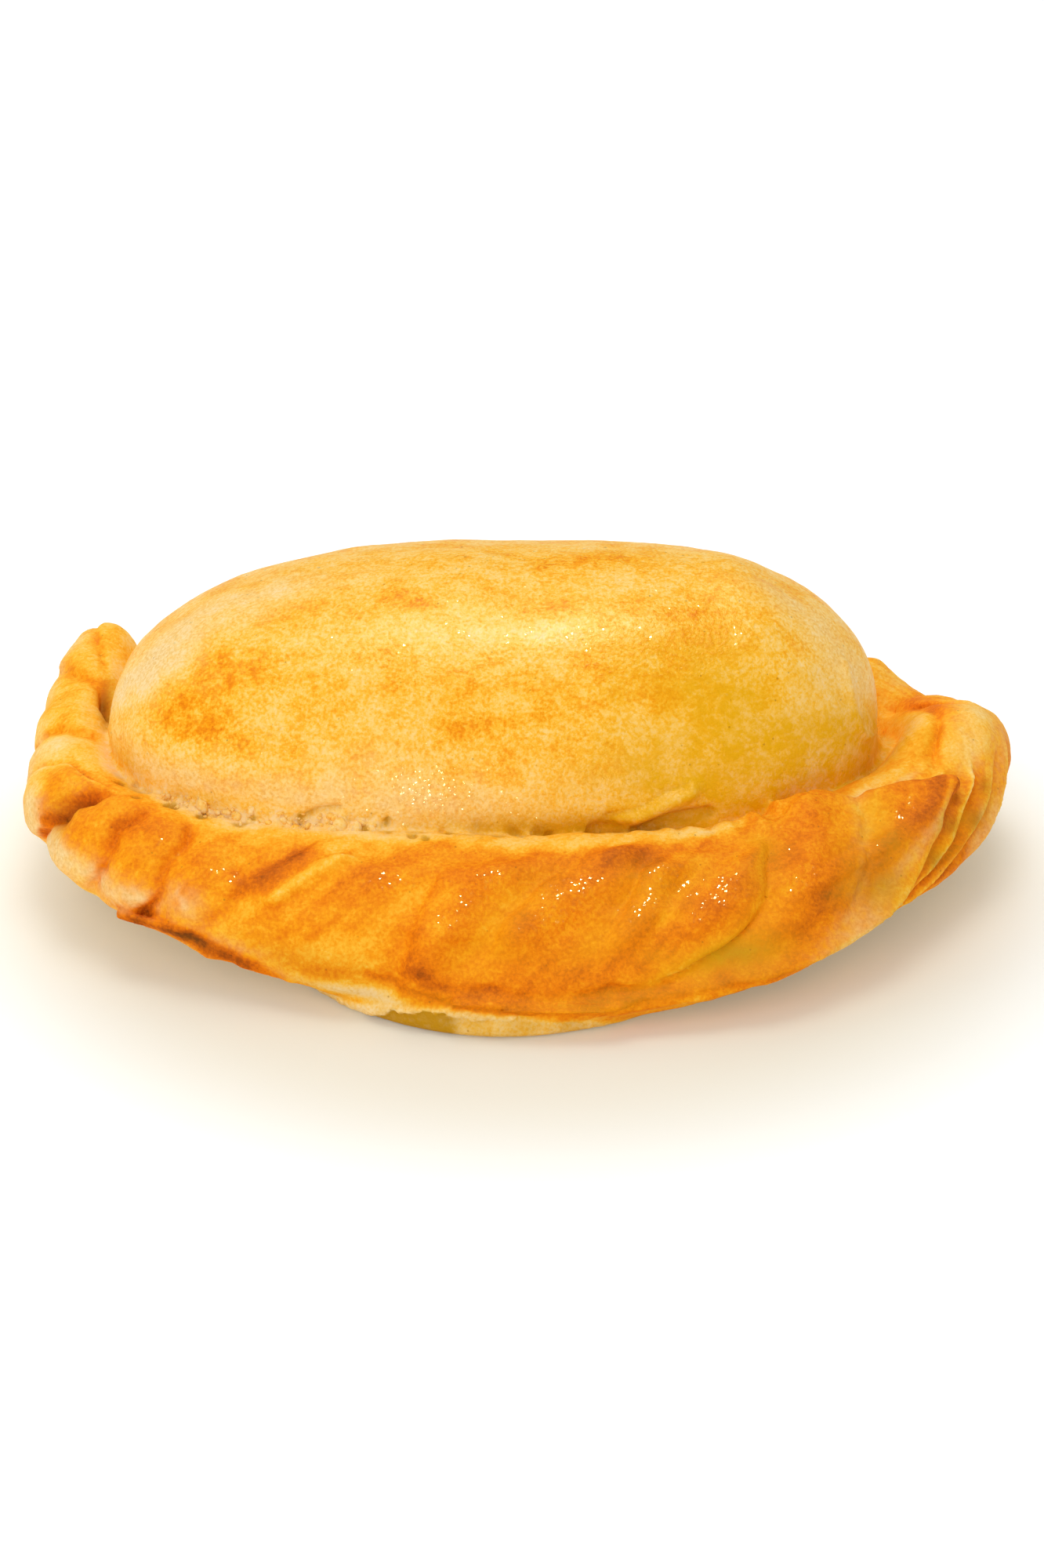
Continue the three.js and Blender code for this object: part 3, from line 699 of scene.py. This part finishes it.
def outline_distance(x, y, outline):
    """Distance inside a closed plan outline (below zero outside it), and the outline's height where it is
    nearest."""
    a, b = outline, np.roll(outline, -1, axis=0)
    px, py = x.ravel()[:, None], y.ravel()[:, None]
    best = np.full(px.shape[0], 1e9, np.float32)
    height = np.zeros_like(best)
    crossings = np.zeros(px.shape[0], int)
    for (x0, y0, z0), (x1, y1, z1) in zip(a, b):
        dx, dy = x1 - x0, y1 - y0
        t = np.clip(((px[:, 0] - x0) * dx + (py[:, 0] - y0) * dy) / (dx * dx + dy * dy), 0, 1)
        gap = np.hypot(px[:, 0] - x0 - t * dx, py[:, 0] - y0 - t * dy)
        closer = gap < best
        best = np.where(closer, gap, best)
        height = np.where(closer, z0 + t * (z1 - z0), height)
        spans = (y0 > py[:, 0]) != (y1 > py[:, 0])
        if dy:
            crossings += spans & (px[:, 0] < x0 + (py[:, 0] - y0) * dx / dy)
    sign = np.where(crossings % 2 == 1, 1, -1)
    return (best * sign).reshape(x.shape), height.reshape(x.shape)


def surface_net(field, low):
    """The zero surface of a field as a mesh of quads: one vertex in each cell that the surface crosses."""
    shape = np.array(field.shape) - 1
    total = np.zeros((int(shape.prod()), 3), np.float32)
    count = np.zeros(int(shape.prod()), np.float32)
    quads = []
    for axis in range(3):
        b, c = (axis + 1) % 3, (axis + 2) % 3
        start = np.take(field, range(field.shape[axis] - 1), axis)
        end = np.take(field, range(1, field.shape[axis]), axis)
        i = np.argwhere((start < 0) != (end < 0))
        i = i[(i[:, b] > 0) & (i[:, c] > 0) & (i[:, b] < shape[b]) & (i[:, c] < shape[c])]
        first, last = start[tuple(i.T)], end[tuple(i.T)]
        crossing = i.astype(np.float32)
        crossing[:, axis] += first / (first - last)
        corners = []
        for step_b, step_c in ((-1, -1), (0, -1), (0, 0), (-1, 0)):
            cell = i.copy()
            cell[:, b] += step_b
            cell[:, c] += step_c
            index = np.ravel_multi_index(tuple(cell.T), tuple(shape))
            corners.append(index)
            for k in range(3):
                total[:, k] += np.bincount(index, crossing[:, k], len(total))
            count += np.bincount(index, minlength=len(count))
        quad = np.stack(corners, 1)
        quad[first > 0] = quad[first > 0][:, ::-1]
        quads.append(quad)
    used = np.flatnonzero(count)
    renumber = np.zeros(len(count), int)
    renumber[used] = np.arange(len(used))
    vertices = total[used] / count[used, None] * PITCH + low
    return vertices, renumber[np.vstack(quads)]


def sample(field, low, points):
    """The field at each point, between grid corners."""
    at = np.clip((points - low) / PITCH, 0, np.array(field.shape) - 1.001)
    cell = at.astype(int)
    w = at - cell
    total = np.zeros(len(points))
    for step, share in cell_corners(w):
        total += share * field[tuple((cell + step).T)]
    return total


def gradient_at(field, low, points):
    reach = PITCH * 0.7
    steps = np.eye(3) * reach
    slope = np.stack([sample(field, low, points + s) - sample(field, low, points - s) for s in steps], 1)
    return slope / np.maximum(np.linalg.norm(slope, axis=1, keepdims=True), 1e-9)


def mesh_object(name, vertices, faces):
    mesh = bpy.data.meshes.new(name)
    mesh.vertices.add(len(vertices))
    mesh.vertices.foreach_set("co", np.asarray(vertices, np.float32).ravel())
    sides = faces.shape[1]
    mesh.loops.add(faces.size)
    mesh.loops.foreach_set("vertex_index", faces.astype(np.int32).ravel())
    mesh.polygons.add(len(faces))
    mesh.polygons.foreach_set("loop_start", np.arange(0, faces.size, sides, dtype=np.int32))
    mesh.update(calc_edges=True)
    mesh.validate()
    piece = bpy.data.objects.new(name, mesh)
    bpy.context.scene.collection.objects.link(piece)
    return piece


# --- Crust --------------------------------------------------------------------------------------------
def dome_turn(p):
    """Turn over the dome at each point: 0 the back edge, 90 the top, 180 the front edge."""
    t = np.clip((p[:, 0] - DOME["left"]) / (DOME["right"] - DOME["left"]) * 2 - 1, -0.97, 0.97)

    def narrowed(name):
        power, root = TAPER[name]
        return (1 - np.abs(t) ** power) ** root

    front = np.where(t < 0, narrowed("left_front"), narrowed("right_front"))
    top = np.where(t < 0, narrowed("left_top"), narrowed("right_top"))
    reach = np.where(p[:, 1] < DOME["ridge_y"],
                     (DOME["ridge_y"] - DOME["front"]) * front,
                     (DOME["back"] - DOME["ridge_y"]) * narrowed("back"))
    lift = (DOME["height"] - DOME["spring"]) * top
    spring = DOME["spring"] + DOME["spring_rise"] * t * t
    up, across = np.maximum(p[:, 2] - spring, 0) / lift, (p[:, 1] - DOME["ridge_y"]) / reach
    return np.degrees(np.arctan2(up, across))


def spot_total(spots, first, second):
    """Sum of soft round spots at each point."""
    total = np.zeros(len(first))
    for a, b, reach_a, reach_b, amount in spots:
        total += amount * np.exp(-((first - a) / reach_a) ** 2 - ((second - b) / reach_b) ** 2)
    return total


MM_PER_DOME_DEGREE = 0.48  # over the dome, on average


def mark_distance(points, x, turn):
    """Distance, mm, from a line of points on the dome."""
    line = np.array(points, float) * [1, MM_PER_DOME_DEGREE]
    p = np.stack([x, turn * MM_PER_DOME_DEGREE], 1)
    return np.min([segment_distance(p, *ends) for ends in zip(line[:-1], line[1:])], axis=0)


class Crust:
    """The crust's field, and what is known about any point of its skin."""

    def __init__(self):
        self.field, self.body, self.ropes, self.low = crust_field()

    def on_rope(self, p):
        """1 on the rope, 0 on the dome, the web and the underside."""
        return smoothstep(-0.5, 0.5, sample(self.body, self.low, p) - sample(self.ropes, self.low, p))

    def rope_place(self, p):
        nearest = rope.plan(p[:, 0], p[:, 1])
        along, turn, _ = rope.place(p[:, 0], p[:, 1], p[:, 2], nearest)
        return along, whole_turn(turn)

    def seam_share(self, p):
        """1 on the torn seam between rope and dome, 0 away from it."""
        body, ropes = sample(self.body, self.low, p), sample(self.ropes, self.low, p)
        return np.exp(-(body**2 + ropes**2) / 3.5) * smoothstep(13, 15, p[:, 2])

    def fine_relief(self, p):
        """How far the skin stands off the plain field, mm: bulges, marks, puckers and grain."""
        turn = dome_turn(p)
        on_rope = self.on_rope(p)
        dome = 0.65 * fractal(p, 15, 11, 2) + 0.14 * fractal(p, 4.5, 12, 2)
        for mark in DOME_MARKS:
            distance = mark_distance(mark["points"], p[:, 0], turn)
            dome += mark["height"] * np.exp(-(distance / mark["width"]) ** 2)
        sandy = np.clip(spot_total(SANDY_SPOTS, p[:, 0], turn), 0, 1)
        dome += (0.04 + 0.06 * sandy) * fractal(p, 1.0, 13, 2)
        dome *= smoothstep(8, 13, p[:, 2])
        ropes = 0.38 * fractal(p, 8, 21, 2) + 0.16 * fractal(p, 2.8, 22, 2) + 0.04 * fractal(p, 1.0, 23, 2)
        ropes += 0.06 * self.fibres(*self.rope_place(p))
        torn = self.seam_share(p) * torn_share(p[:, 0])
        torn *= 0.25 * (0.5 - cells(p, 0.6, 14))
        under = smoothstep(11, 6, p[:, 2]) * (1 - on_rope)
        belly = 0.45 * self.sheet(p) + 0.35 * fractal(p, 3, 15, 2) + 0.35 * (0.5 - cells(p, 1.3, 16))
        belly *= smoothstep(0.2, 1.0, p[:, 2])
        return (dome * (1 - on_rope) * (1 - under) + ropes * on_rope * smoothstep(0.5, 3, p[:, 2]) + torn
                + belly * under)

    def sheet(self, p):
        """1 where the pale outer sheet covers the belly, 0 where it is torn away."""
        edge = profile(SHEET_EDGE, p[:, 0]) + 0.6 * fractal(p, 2.5, 17, 2) + 0.4 * noise(p, 1.0, 19)
        return smoothstep(edge - 0.2, edge + 0.2, p[:, 2])

    def fibres(self, along, turn):
        """Fine streaks, from about -1 to 1, that run with the slant of the folds."""
        shifted = along - profile(FIBRE_SLANT, along) * turn
        places = np.stack([shifted, turn * MM_PER_DEGREE / 3.5, 0 * turn], 1)
        return fractal(places, 1.2, 44, 2)

    def tones(self, p):
        """Each tone that the material reads, at each point: browning, sandiness, olive tint and so on."""
        x, z = p[:, 0], p[:, 2]
        turn = dome_turn(p)
        on_rope = self.on_rope(p)
        along, round_rope = self.rope_place(p)

        patchy = 1 + 0.7 * fractal(p, 2.6, 45) + 0.5 * fractal(p, 1.3, 46, 2)
        dome = 0.30 + spot_total(DOME_SPOTS, x, turn) * patchy + 0.05 * fractal(p, 9, 31)
        dome += 0.095 * (smoothstep(-0.12, 0.25, fractal(p * [0.7, 1, 1], 2.8, 32)) - 0.4)
        pocket = smoothstep(40, 44, x) * smoothstep(19, 16, z) * (1 - on_rope)
        dome += 0.05 * pocket
        sandy = spot_total(SANDY_SPOTS, x, turn)
        olive = spot_total(OLIVE_SPOTS, x, turn)
        sandy = np.clip(sandy + 0.25 * fractal(p, 3, 33), 0, 1) * (1 - on_rope)
        olive = olive + 0.3 * fractal(p, 4, 34) * (olive > 0.1) + 0.5 * pocket
        olive = np.clip(olive, 0, 1) * (1 - on_rope)
        rope_sandy = spot_total(ROPE_SANDY_SPOTS, along, round_rope) * (1 + 0.4 * fractal(p, 3, 47))
        rope_olive = spot_total(ROPE_OLIVE_SPOTS, along, round_rope) * (1 + 0.4 * fractal(p, 4, 48))
        for stroke in STROKES:
            i = stroke.near(along)
            more_sandy, more_olive = stroke.tint(along[i], round_rope[i])
            rope_sandy[i] += more_sandy
            rope_olive[i] += more_olive
        rope_sandy += 0.5 * smoothstep(75, 15, round_rope) * profile(ROPE_LOWER_SANDY, along)
        olive += on_rope * np.clip(rope_olive, 0, 1)

        ropes = profile(ROPE_BROWNING, along)
        ropes += spot_total(ROPE_SPOTS, along, round_rope)
        ropes += 0.03 * np.clip(fold_relief(along, round_rope), -1, 1.5)
        for stroke in STROKES:
            i = stroke.near(along)
            ropes[i] += stroke.browning(along[i], round_rope[i])
        for rim in RIMS:
            ropes += rim.get("tone", 0) * rim_share(rim, along, round_rope)[0]
        strip = smoothstep(130, 148, round_rope + 16 * fractal(p, 5, 36))
        ropes -= 0.3 * strip * profile(PALE_STRIP, along)
        strip = smoothstep(112, 124, round_rope + 14 * fractal(p, 4, 49))
        ropes -= 0.2 * strip * profile(PALE_STRIP_LEFT, along)
        ropes -= profile(PALE_LOWER_EDGE, along) * smoothstep(30, 0, round_rope)
        ropes += 0.09 * fractal(p, 7, 37) + 0.09 * fractal(p, 2.2, 38)
        ropes += 0.1 * self.fibres(along, round_rope)
        sandy += on_rope * np.clip(rope_sandy, 0, 1) * smoothstep(0.85, 0.6, ropes)
        browning = dome * (1 - on_rope) + ropes * on_rope

        # The torn seam shows pale crumb, and painted shade in its holes.
        seam = self.seam_share(p)
        raised = np.minimum(sample(self.body, self.low, p), sample(self.ropes, self.low, p))
        hole = np.maximum(seam * smoothstep(-0.1, -0.7, raised), smoothstep(0.4, -0.1, pit_distance(p)))
        crumb = np.clip(1.2 * seam * torn_share(x) * smoothstep(4, -2, x), 0, 1)
        browning = browning * (1 - crumb) + crumb * (0.08 + 0.2 * fractal(p, 1.5, 41)) + 0.2 * hole
        sandy = np.maximum(sandy * (1 - crumb), 0.35 * crumb)
        olive = np.maximum(olive * (1 - 0.7 * crumb), 0.6 * hole)
        # This darkening is painted shade: in the seam's holes and in the rope's shaded wedges and creases.
        painted_shade = 0.5 * hole + 0.02 * crumb + spot_total(SHADE_SPOTS, along, round_rope) * on_rope

        # The underside stays pale, with olive patches where the filling shows through.
        under = np.maximum(smoothstep(-8, -24, round_rope) * on_rope, smoothstep(12, 8, z) * (1 - on_rope))
        sheet = self.sheet(p)
        browning = browning * (1 - under) + under * (0.1 + 0.12 * fractal(p, 5, 39) + 0.1 * (1 - sheet))
        sandy = sandy * (1 - under) + under * (0.45 + 0.3 * sheet)
        bare = smoothstep(-7, -10, x) + 0.2
        stain = 0.1 + sheet * 0.9 * fractal(p, 7, 40) + (1 - sheet) * bare * (1.2 + fractal(p, 3, 42))
        stain = np.clip(stain, 0, 1.2)
        olive = olive * (1 - under) + under * stain
        # The olive patches are also darkened here: painted shade under the belly.
        painted_shade = np.maximum(painted_shade, 0.4 * under * stain)

        # Glaze: beads on the upper half of the rope and on the dome, and the dome's soft sheen.
        wet = on_rope * np.clip(0.15 + spot_total(WET_SPOTS, along, round_rope), 0, 1)
        wet *= smoothstep(55, 72, round_rope)
        dome_wet = 0.25 + spot_total(DOME_WET_SPOTS, x, turn)
        wet = np.maximum(wet, dome_wet * (1 - on_rope)) * (1 - 0.8 * crumb) * (1 - 0.7 * under)
        sheen = (1 - on_rope) * (0.004 + 0.022 * spot_total(DOME_SHEEN_SPOTS, x, turn))
        mottled = 1 - 0.35 * on_rope
        rough = 0.37 + 0.33 * on_rope
        blistered = 1 - 0.3 * on_rope
        return dict(browning=browning, sandy=sandy, olive=olive, wet=wet, mottled=mottled, painted_shade=painted_shade,
                    rough=rough, blistered=blistered, sheen=sheen)


def set_tones(piece, tones):
    """Store each tone on the piece's vertices, for the material to read."""
    for name, values in tones.items():
        layer = piece.data.attributes.new(name, "FLOAT", "POINT")
        layer.data.foreach_set("value", np.asarray(values, np.float32))


CRUMBS = 140
CRUMBS_END_X = -18  # they lie to the left of this


def build_crumbs(skin, work):
    """The loose torn crumbs that stick in the seam, one joined mesh of uneven lumps."""
    random = np.random.default_rng(61)
    share = skin.seam_share(work) * torn_share(work[:, 0]) * (work[:, 0] < CRUMBS_END_X)
    seats = work[random.choice(np.flatnonzero(share > 0.45), CRUMBS, replace=False)]
    ball = bmesh.new()
    bmesh.ops.create_icosphere(ball, subdivisions=2, radius=1)
    shape = np.array([v.co[:] for v in ball.verts])
    sides = np.array([[v.index for v in face.verts] for face in ball.faces])
    ball.free()
    places, faces = [], []
    for k, seat in enumerate(seats):
        size = (0.16 + 0.6 * random.uniform() ** 3) * random.uniform(0.5, 1.5, 3)
        turned = np.array(Euler(random.uniform(0, 6.3, 3)).to_matrix())
        lump = shape * (1 + 0.45 * fractal(shape + 7 * k, 0.9, 62, 2))[:, None] * size
        places.append(lump @ turned.T + seat - (0, 0, 0.35 * size.min()))
        faces.append(sides + k * len(shape))
    places = np.vstack(places)
    piece = mesh_object("crumbs", to_frame(places), np.vstack(faces))
    piece.data.polygons.foreach_set("use_smooth", np.ones(len(piece.data.polygons), bool))
    tone = np.repeat(random.uniform(0.06, 0.3, len(seats)), len(shape))
    ones = np.ones(len(places))
    none = 0 * ones
    set_tones(piece, dict(browning=tone, sandy=0.45 * ones, olive=none, wet=none, mottled=ones, painted_shade=none,
                          rough=0.7 * ones, blistered=ones, sheen=none))
    return piece


def build_crust():
    crust = Crust()
    vertices, quads = surface_net(crust.field, crust.low)
    for _ in range(2):
        normal = gradient_at(crust.field, crust.low, vertices)
        vertices = vertices - normal * sample(crust.field, crust.low, vertices)[:, None]
    normal = gradient_at(crust.field, crust.low, vertices)
    vertices = vertices + normal * crust.fine_relief(vertices)[:, None]
    vertices[:, 2] = np.maximum(vertices[:, 2], 0)
    piece = mesh_object("crust", to_frame(vertices), quads)
    triangles = 2 * len(quads)
    if triangles > MOST_TRIANGLES:
        thin = piece.modifiers.new("thin", "DECIMATE")
        thin.ratio = MOST_TRIANGLES / triangles
        bpy.context.view_layer.objects.active = piece
        with bpy.context.temp_override(object=piece, active_object=piece, selected_objects=[piece]):
            bpy.ops.object.modifier_apply(modifier=thin.name)
    mesh = piece.data
    mesh.polygons.foreach_set("use_smooth", np.ones(len(mesh.polygons), bool))
    places = np.empty(len(mesh.vertices) * 3, np.float32)
    mesh.vertices.foreach_get("co", places)
    work = places.reshape(-1, 3) / MM + WORK_CENTRE
    set_tones(piece, crust.tones(work))
    return piece, build_crumbs(crust, work)


# --- Material -----------------------------------------------------------------------------------------
def linear(red, green, blue):
    """A screen colour, 0 to 255, as the linear colour that shaders use."""
    screen = np.array([red, green, blue]) / 255
    low = screen / 12.92
    high = ((screen + 0.055) / 1.055) ** 2.4
    return (*np.where(screen < 0.04045, low, high), 1)


# Browning of the dough, from raw (0) through golden (0.5) and brown (1) to burnt.
BROWNING = [
    (0.00, linear(250, 214, 150)),
    (0.18, linear(253, 206, 108)),
    (0.36, linear(252, 186, 50)),
    (0.52, linear(248, 158, 16)),
    (0.70, linear(236, 126, 4)),
    (0.90, linear(204, 98, 6)),
    (1.20, linear(120, 54, 10)),
]
MOST_BROWN = BROWNING[-1][0]
SANDY = linear(250, 220, 162), linear(236, 188, 108)  # palest and darkest
OLIVE = linear(231, 169, 12)
# Colour of painted shade: in holes, wedges and creases, and under the belly.
PAINTED_SHADE_COLOUR = linear(132, 88, 24)
SPECK = linear(150, 84, 20)
BEAD_SPACING, BRAN_SPACING = 0.78, 1.9  # mm


class Nodes:
    """A short way to write a material's nodes."""

    def __init__(self, name):
        self.material = bpy.data.materials.new(name)
        self.material.use_nodes = True
        self.tree = self.material.node_tree
        self.shader = self.tree.nodes["Principled BSDF"]

    def add(self, kind, inputs=None, **settings):
        node = self.tree.nodes.new(kind)
        for key, value in settings.items():
            setattr(node, key, value)
        for key, value in (inputs or {}).items():
            if isinstance(value, bpy.types.NodeSocket):
                self.tree.links.new(value, node.inputs[key])
            else:
                node.inputs[key].default_value = value
        return node

    def math(self, operation, a, b, c=0.0, **settings):
        return self.add("ShaderNodeMath", {0: a, 1: b, 2: c}, operation=operation, **settings).outputs[0]

    def attribute(self, name):
        return self.add("ShaderNodeAttribute", attribute_name=name).outputs["Fac"]

    def scaled_place(self, scale):
        place = self.add("ShaderNodeTexCoord").outputs["Object"]
        return self.add("ShaderNodeVectorMath", {0: place, 1: scale}, operation="MULTIPLY").outputs[0]

    def noise(self, size, detail=2.0, roughness=0.5, place=None):
        """Noise from 0 to 1 with lumps of about that size, mm."""
        place = place or self.add("ShaderNodeTexCoord").outputs["Object"]
        return self.add("ShaderNodeTexNoise", {"Vector": place, "Scale": 1 / (size * MM), "Detail": detail,
                                               "Roughness": roughness}).outputs["Fac"]

    def ramp(self, value, low, high, kind="LINEAR"):
        """0 to 1 while the value goes from low to high."""
        return self.add("ShaderNodeMapRange", {"Value": value, "From Min": low, "From Max": high},
                        interpolation_type=kind).outputs[0]

    def sharper(self, value, reach):
        """Noise with clearer edges between its high and low places."""
        return self.ramp(value, 0.5 - reach, 0.5 + reach, "SMOOTHSTEP")

    def varied(self, base, layer, strength):
        """The base with noise of some strength added, so that its average stays the same."""
        return self.math("MULTIPLY_ADD", self.math("SUBTRACT", layer, 0.5), strength, base)

    def cells(self, size):
        """A node of scattered cells of about that size, mm."""
        place = self.add("ShaderNodeTexCoord").outputs["Object"]
        return self.add("ShaderNodeTexVoronoi", {"Vector": place, "Scale": 1 / (size * MM)})

    def bump(self, height, strength, distance):
        inputs = {"Height": height, "Strength": strength, "Distance": distance}
        return self.add("ShaderNodeBump", inputs).outputs["Normal"]

    def mix(self, share, a, b):
        node = self.add("ShaderNodeMix", data_type="RGBA")
        for key, value in (("Factor", share), ("A", a), ("B", b)):
            socket = next(s for s in node.inputs if s.name == key and s.enabled)
            if isinstance(value, bpy.types.NodeSocket):
                self.tree.links.new(value, socket)
            else:
                socket.default_value = value
        return next(s for s in node.outputs if s.enabled)

    def link(self, value, name):
        self.tree.links.new(value, self.shader.inputs[name])


def crust_material():
    """Browning by ramp, with sandy, olive and painted-shade places over it, grain, bran specks and beads of
    glaze.
    """
    nodes = Nodes("crust")
    flecks = nodes.noise(2.6, 4, 0.6, nodes.scaled_place((0.7, 1, 1)))
    mottle = nodes.noise(0.9, 3, 0.6)
    grain = nodes.noise(0.45, 2, 0.6)
    clear_flecks = nodes.sharper(flecks, 0.1)
    clear_mottle = nodes.sharper(mottle, 0.13)

    shift = 0.0
    for layer, strength in ((clear_flecks, 0.1), (clear_mottle, 0.1), (grain, 0.55)):
        shift = nodes.varied(shift, layer, strength)
    browning = nodes.math("MULTIPLY_ADD", shift, nodes.attribute("mottled"), nodes.attribute("browning"))
    ramp = nodes.add("ShaderNodeValToRGB", {"Fac": nodes.math("DIVIDE", browning, MOST_BROWN)})
    stops = ramp.color_ramp.elements
    while len(stops) < len(BROWNING):
        stops.new(0.5)
    for stop, (level, colour) in zip(stops, BROWNING):
        stop.position = level / MOST_BROWN
        stop.color = colour
    colour = ramp.outputs["Color"]

    sandy = nodes.attribute("sandy")
    patches = nodes.math("MULTIPLY", nodes.varied(sandy, mottle, 1.6), nodes.math("MULTIPLY", sandy, 0.9))
    colour = nodes.mix(patches, colour, nodes.mix(nodes.varied(0.5, grain, 3.0), *SANDY))
    broken = nodes.math("MULTIPLY_ADD", clear_mottle, 0.24, 0.6)
    broken = nodes.math("MULTIPLY_ADD", clear_flecks, 0.22, broken)
    tinted = nodes.math("MULTIPLY", nodes.attribute("olive"), broken, use_clamp=True)
    colour = nodes.mix(tinted, colour, OLIVE)
    # Painted shade darkens the colour towards a dull brown.
    colour = nodes.mix(nodes.attribute("painted_shade"), colour, PAINTED_SHADE_COLOUR)

    # Tiny dark specks of bran and char, in about half of the places.
    bran = nodes.cells(BRAN_SPACING).outputs["Distance"]
    speck = nodes.math("MULTIPLY", nodes.ramp(bran, 0.1, 0.04), 0.5)
    sparse = nodes.math("GREATER_THAN", nodes.noise(4, 1), 0.5)
    colour = nodes.mix(nodes.math("MULTIPLY", speck, sparse), colour, SPECK)
    nodes.link(colour, "Base Color")
    nodes.link(nodes.attribute("rough"), "Roughness")
    nodes.shader.inputs["Specular IOR Level"].default_value = 0.05

    # The coat: round beads of glaze, each there in full or not at all, and a faint even sheen.
    # A bead is there where wetness, noise and its own chance add up to enough.
    beads = nodes.cells(BEAD_SPACING)
    core = nodes.ramp(beads.outputs["Distance"], 0.38, 0.34)
    chance = nodes.add("ShaderNodeSeparateColor", {"Color": beads.outputs["Color"]}).outputs[0]
    chosen = nodes.math("MULTIPLY_ADD", nodes.attribute("wet"), 0.48, nodes.noise(1.6, 3, 0.7))
    chosen = nodes.math("MULTIPLY_ADD", chance, 0.16, chosen)
    dots = nodes.math("MULTIPLY", nodes.ramp(chosen, 0.875, 0.885), core, use_clamp=True)
    nodes.link(nodes.math("MAXIMUM", dots, nodes.attribute("sheen")), "Coat Weight")
    nodes.shader.inputs["Coat Roughness"].default_value = 0.14

    # Sand-fine grain everywhere, and small blisters and beads in the glaze.
    rise = nodes.math("MULTIPLY_ADD", mottle, 0.7, nodes.math("MULTIPLY", grain, 0.6))
    nodes.link(nodes.bump(rise, 0.7, 0.2 * MM), "Normal")
    bead = nodes.ramp(beads.outputs["Distance"], 0.45, 0.05, "SMOOTHSTEP")
    bead = nodes.math("MULTIPLY", bead, 0.5)
    blisters = nodes.math("MULTIPLY_ADD", mottle, nodes.attribute("blistered"), bead)
    nodes.link(nodes.bump(blisters, 1.0, 0.085 * MM), "Coat Normal")
    return nodes.material


crust_skin = crust_material()
for piece in build_crust():
    piece.data.materials.append(crust_skin)
    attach(piece, "root")
    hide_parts("empanada")

# --- Stage --------------------------------------------------------------------------------------------
CAMERA_TARGET = to_frame((0, 0, 18.7))
CAMERA_DISTANCE = 430  # working mm
CAMERA_ELEVATION = math.radians(29)
WARM = (1.0, 0.9, 0.45)  # colour of the two small lights that make the glints
VIEW_HEIGHT = 205.3  # working mm that the frame's height takes in at the target


def add_camera():
    data = bpy.data.cameras.new("camera")
    data.sensor_width = 36
    data.lens = data.sensor_width * CAMERA_DISTANCE / VIEW_HEIGHT
    data.clip_start = 0.01
    camera = bpy.data.objects.new("camera", data)
    bpy.context.scene.collection.objects.link(camera)
    back = Vector((0, -math.cos(CAMERA_ELEVATION), math.sin(CAMERA_ELEVATION)))
    camera.location = Vector(CAMERA_TARGET) + CAMERA_DISTANCE * MM * back
    camera.rotation_euler = back.to_track_quat("Z", "Y").to_euler()
    bpy.context.scene.camera = camera


def add_light(name, direction, distance, size, power, diffuse=True, glossy=True, colour=(1, 1, 1)):
    """A round area light that looks at the empanada from a direction (right, away, up)."""
    data = bpy.data.lights.new(name, "AREA")
    data.shape = "DISK"
    data.size = size
    data.energy = power
    data.color = colour
    light = bpy.data.objects.new(name, data)
    bpy.context.scene.collection.objects.link(light)
    towards = Vector(direction).normalized()
    light.location = Vector((0, 0, 0.02)) + towards * distance
    light.rotation_euler = towards.to_track_quat("Z", "Y").to_euler()
    light.visible_camera = False
    light.visible_diffuse = diffuse
    light.visible_glossy = glossy


def floor_material():
    """A white sheet, darker and creamier round the empanada than further away: a painted soft shadow with
    warm bounce.
    """
    nodes = Nodes("floor")
    place = nodes.scaled_place((0.9, 1, 1))
    away = nodes.add("ShaderNodeVectorMath", {0: place}, operation="LENGTH").outputs["Value"]
    far = nodes.ramp(away, 0.048, 0.08, "SMOOTHSTEP")
    # The creamier colour near the empanada is painted shadow.
    nodes.link(nodes.mix(far, (0.76, 0.69, 0.575, 1), (0.96, 0.96, 0.96, 1)), "Base Color")
    nodes.shader.inputs["Roughness"].default_value = 0.8
    nodes.shader.inputs["Specular IOR Level"].default_value = 0.1
    nodes.shader.inputs["Emission Color"].default_value = (0.8, 1.0, 0.95, 1)
    nodes.shader.inputs["Emission Strength"].default_value = 0.13
    return nodes.material


def add_stage():
    half = 4.0
    corners = np.array([(-half, -half, 0), (half, -half, 0), (half, half, 0), (-half, half, 0)])
    floor = mesh_object("floor", corners, np.array([(0, 1, 2, 3)]))
    floor.data.materials.append(floor_material())
    world = bpy.data.worlds.new("world")
    bpy.context.scene.world = world
    world.use_nodes = True
    world.node_tree.nodes["Background"].inputs["Color"].default_value = (1, 1, 1, 1)
    world.node_tree.nodes["Background"].inputs["Strength"].default_value = 0.68
    world.cycles_visibility.glossy = False
    add_light("overhead", (0.0, 0.1, 1), 0.8, 0.45, 1.2, glossy=False)
    add_light("behind", (-0.42, 0.95, 0.82), 1.0, 0.9, 2.3, glossy=False)
    add_light("front", (-0.55, -1, 0.72), 1.0, 0.9, 2.5, glossy=False)
    add_light("spark", (0.0, 0.05, 1), 0.8, 0.3, 26, diffuse=False, colour=WARM)
    add_light("front spark", (-0.15, -1, 0.1), 0.9, 0.24, 9, diffuse=False, colour=WARM)
    bpy.context.scene.view_settings.view_transform = "Standard"


add_camera()
add_stage()
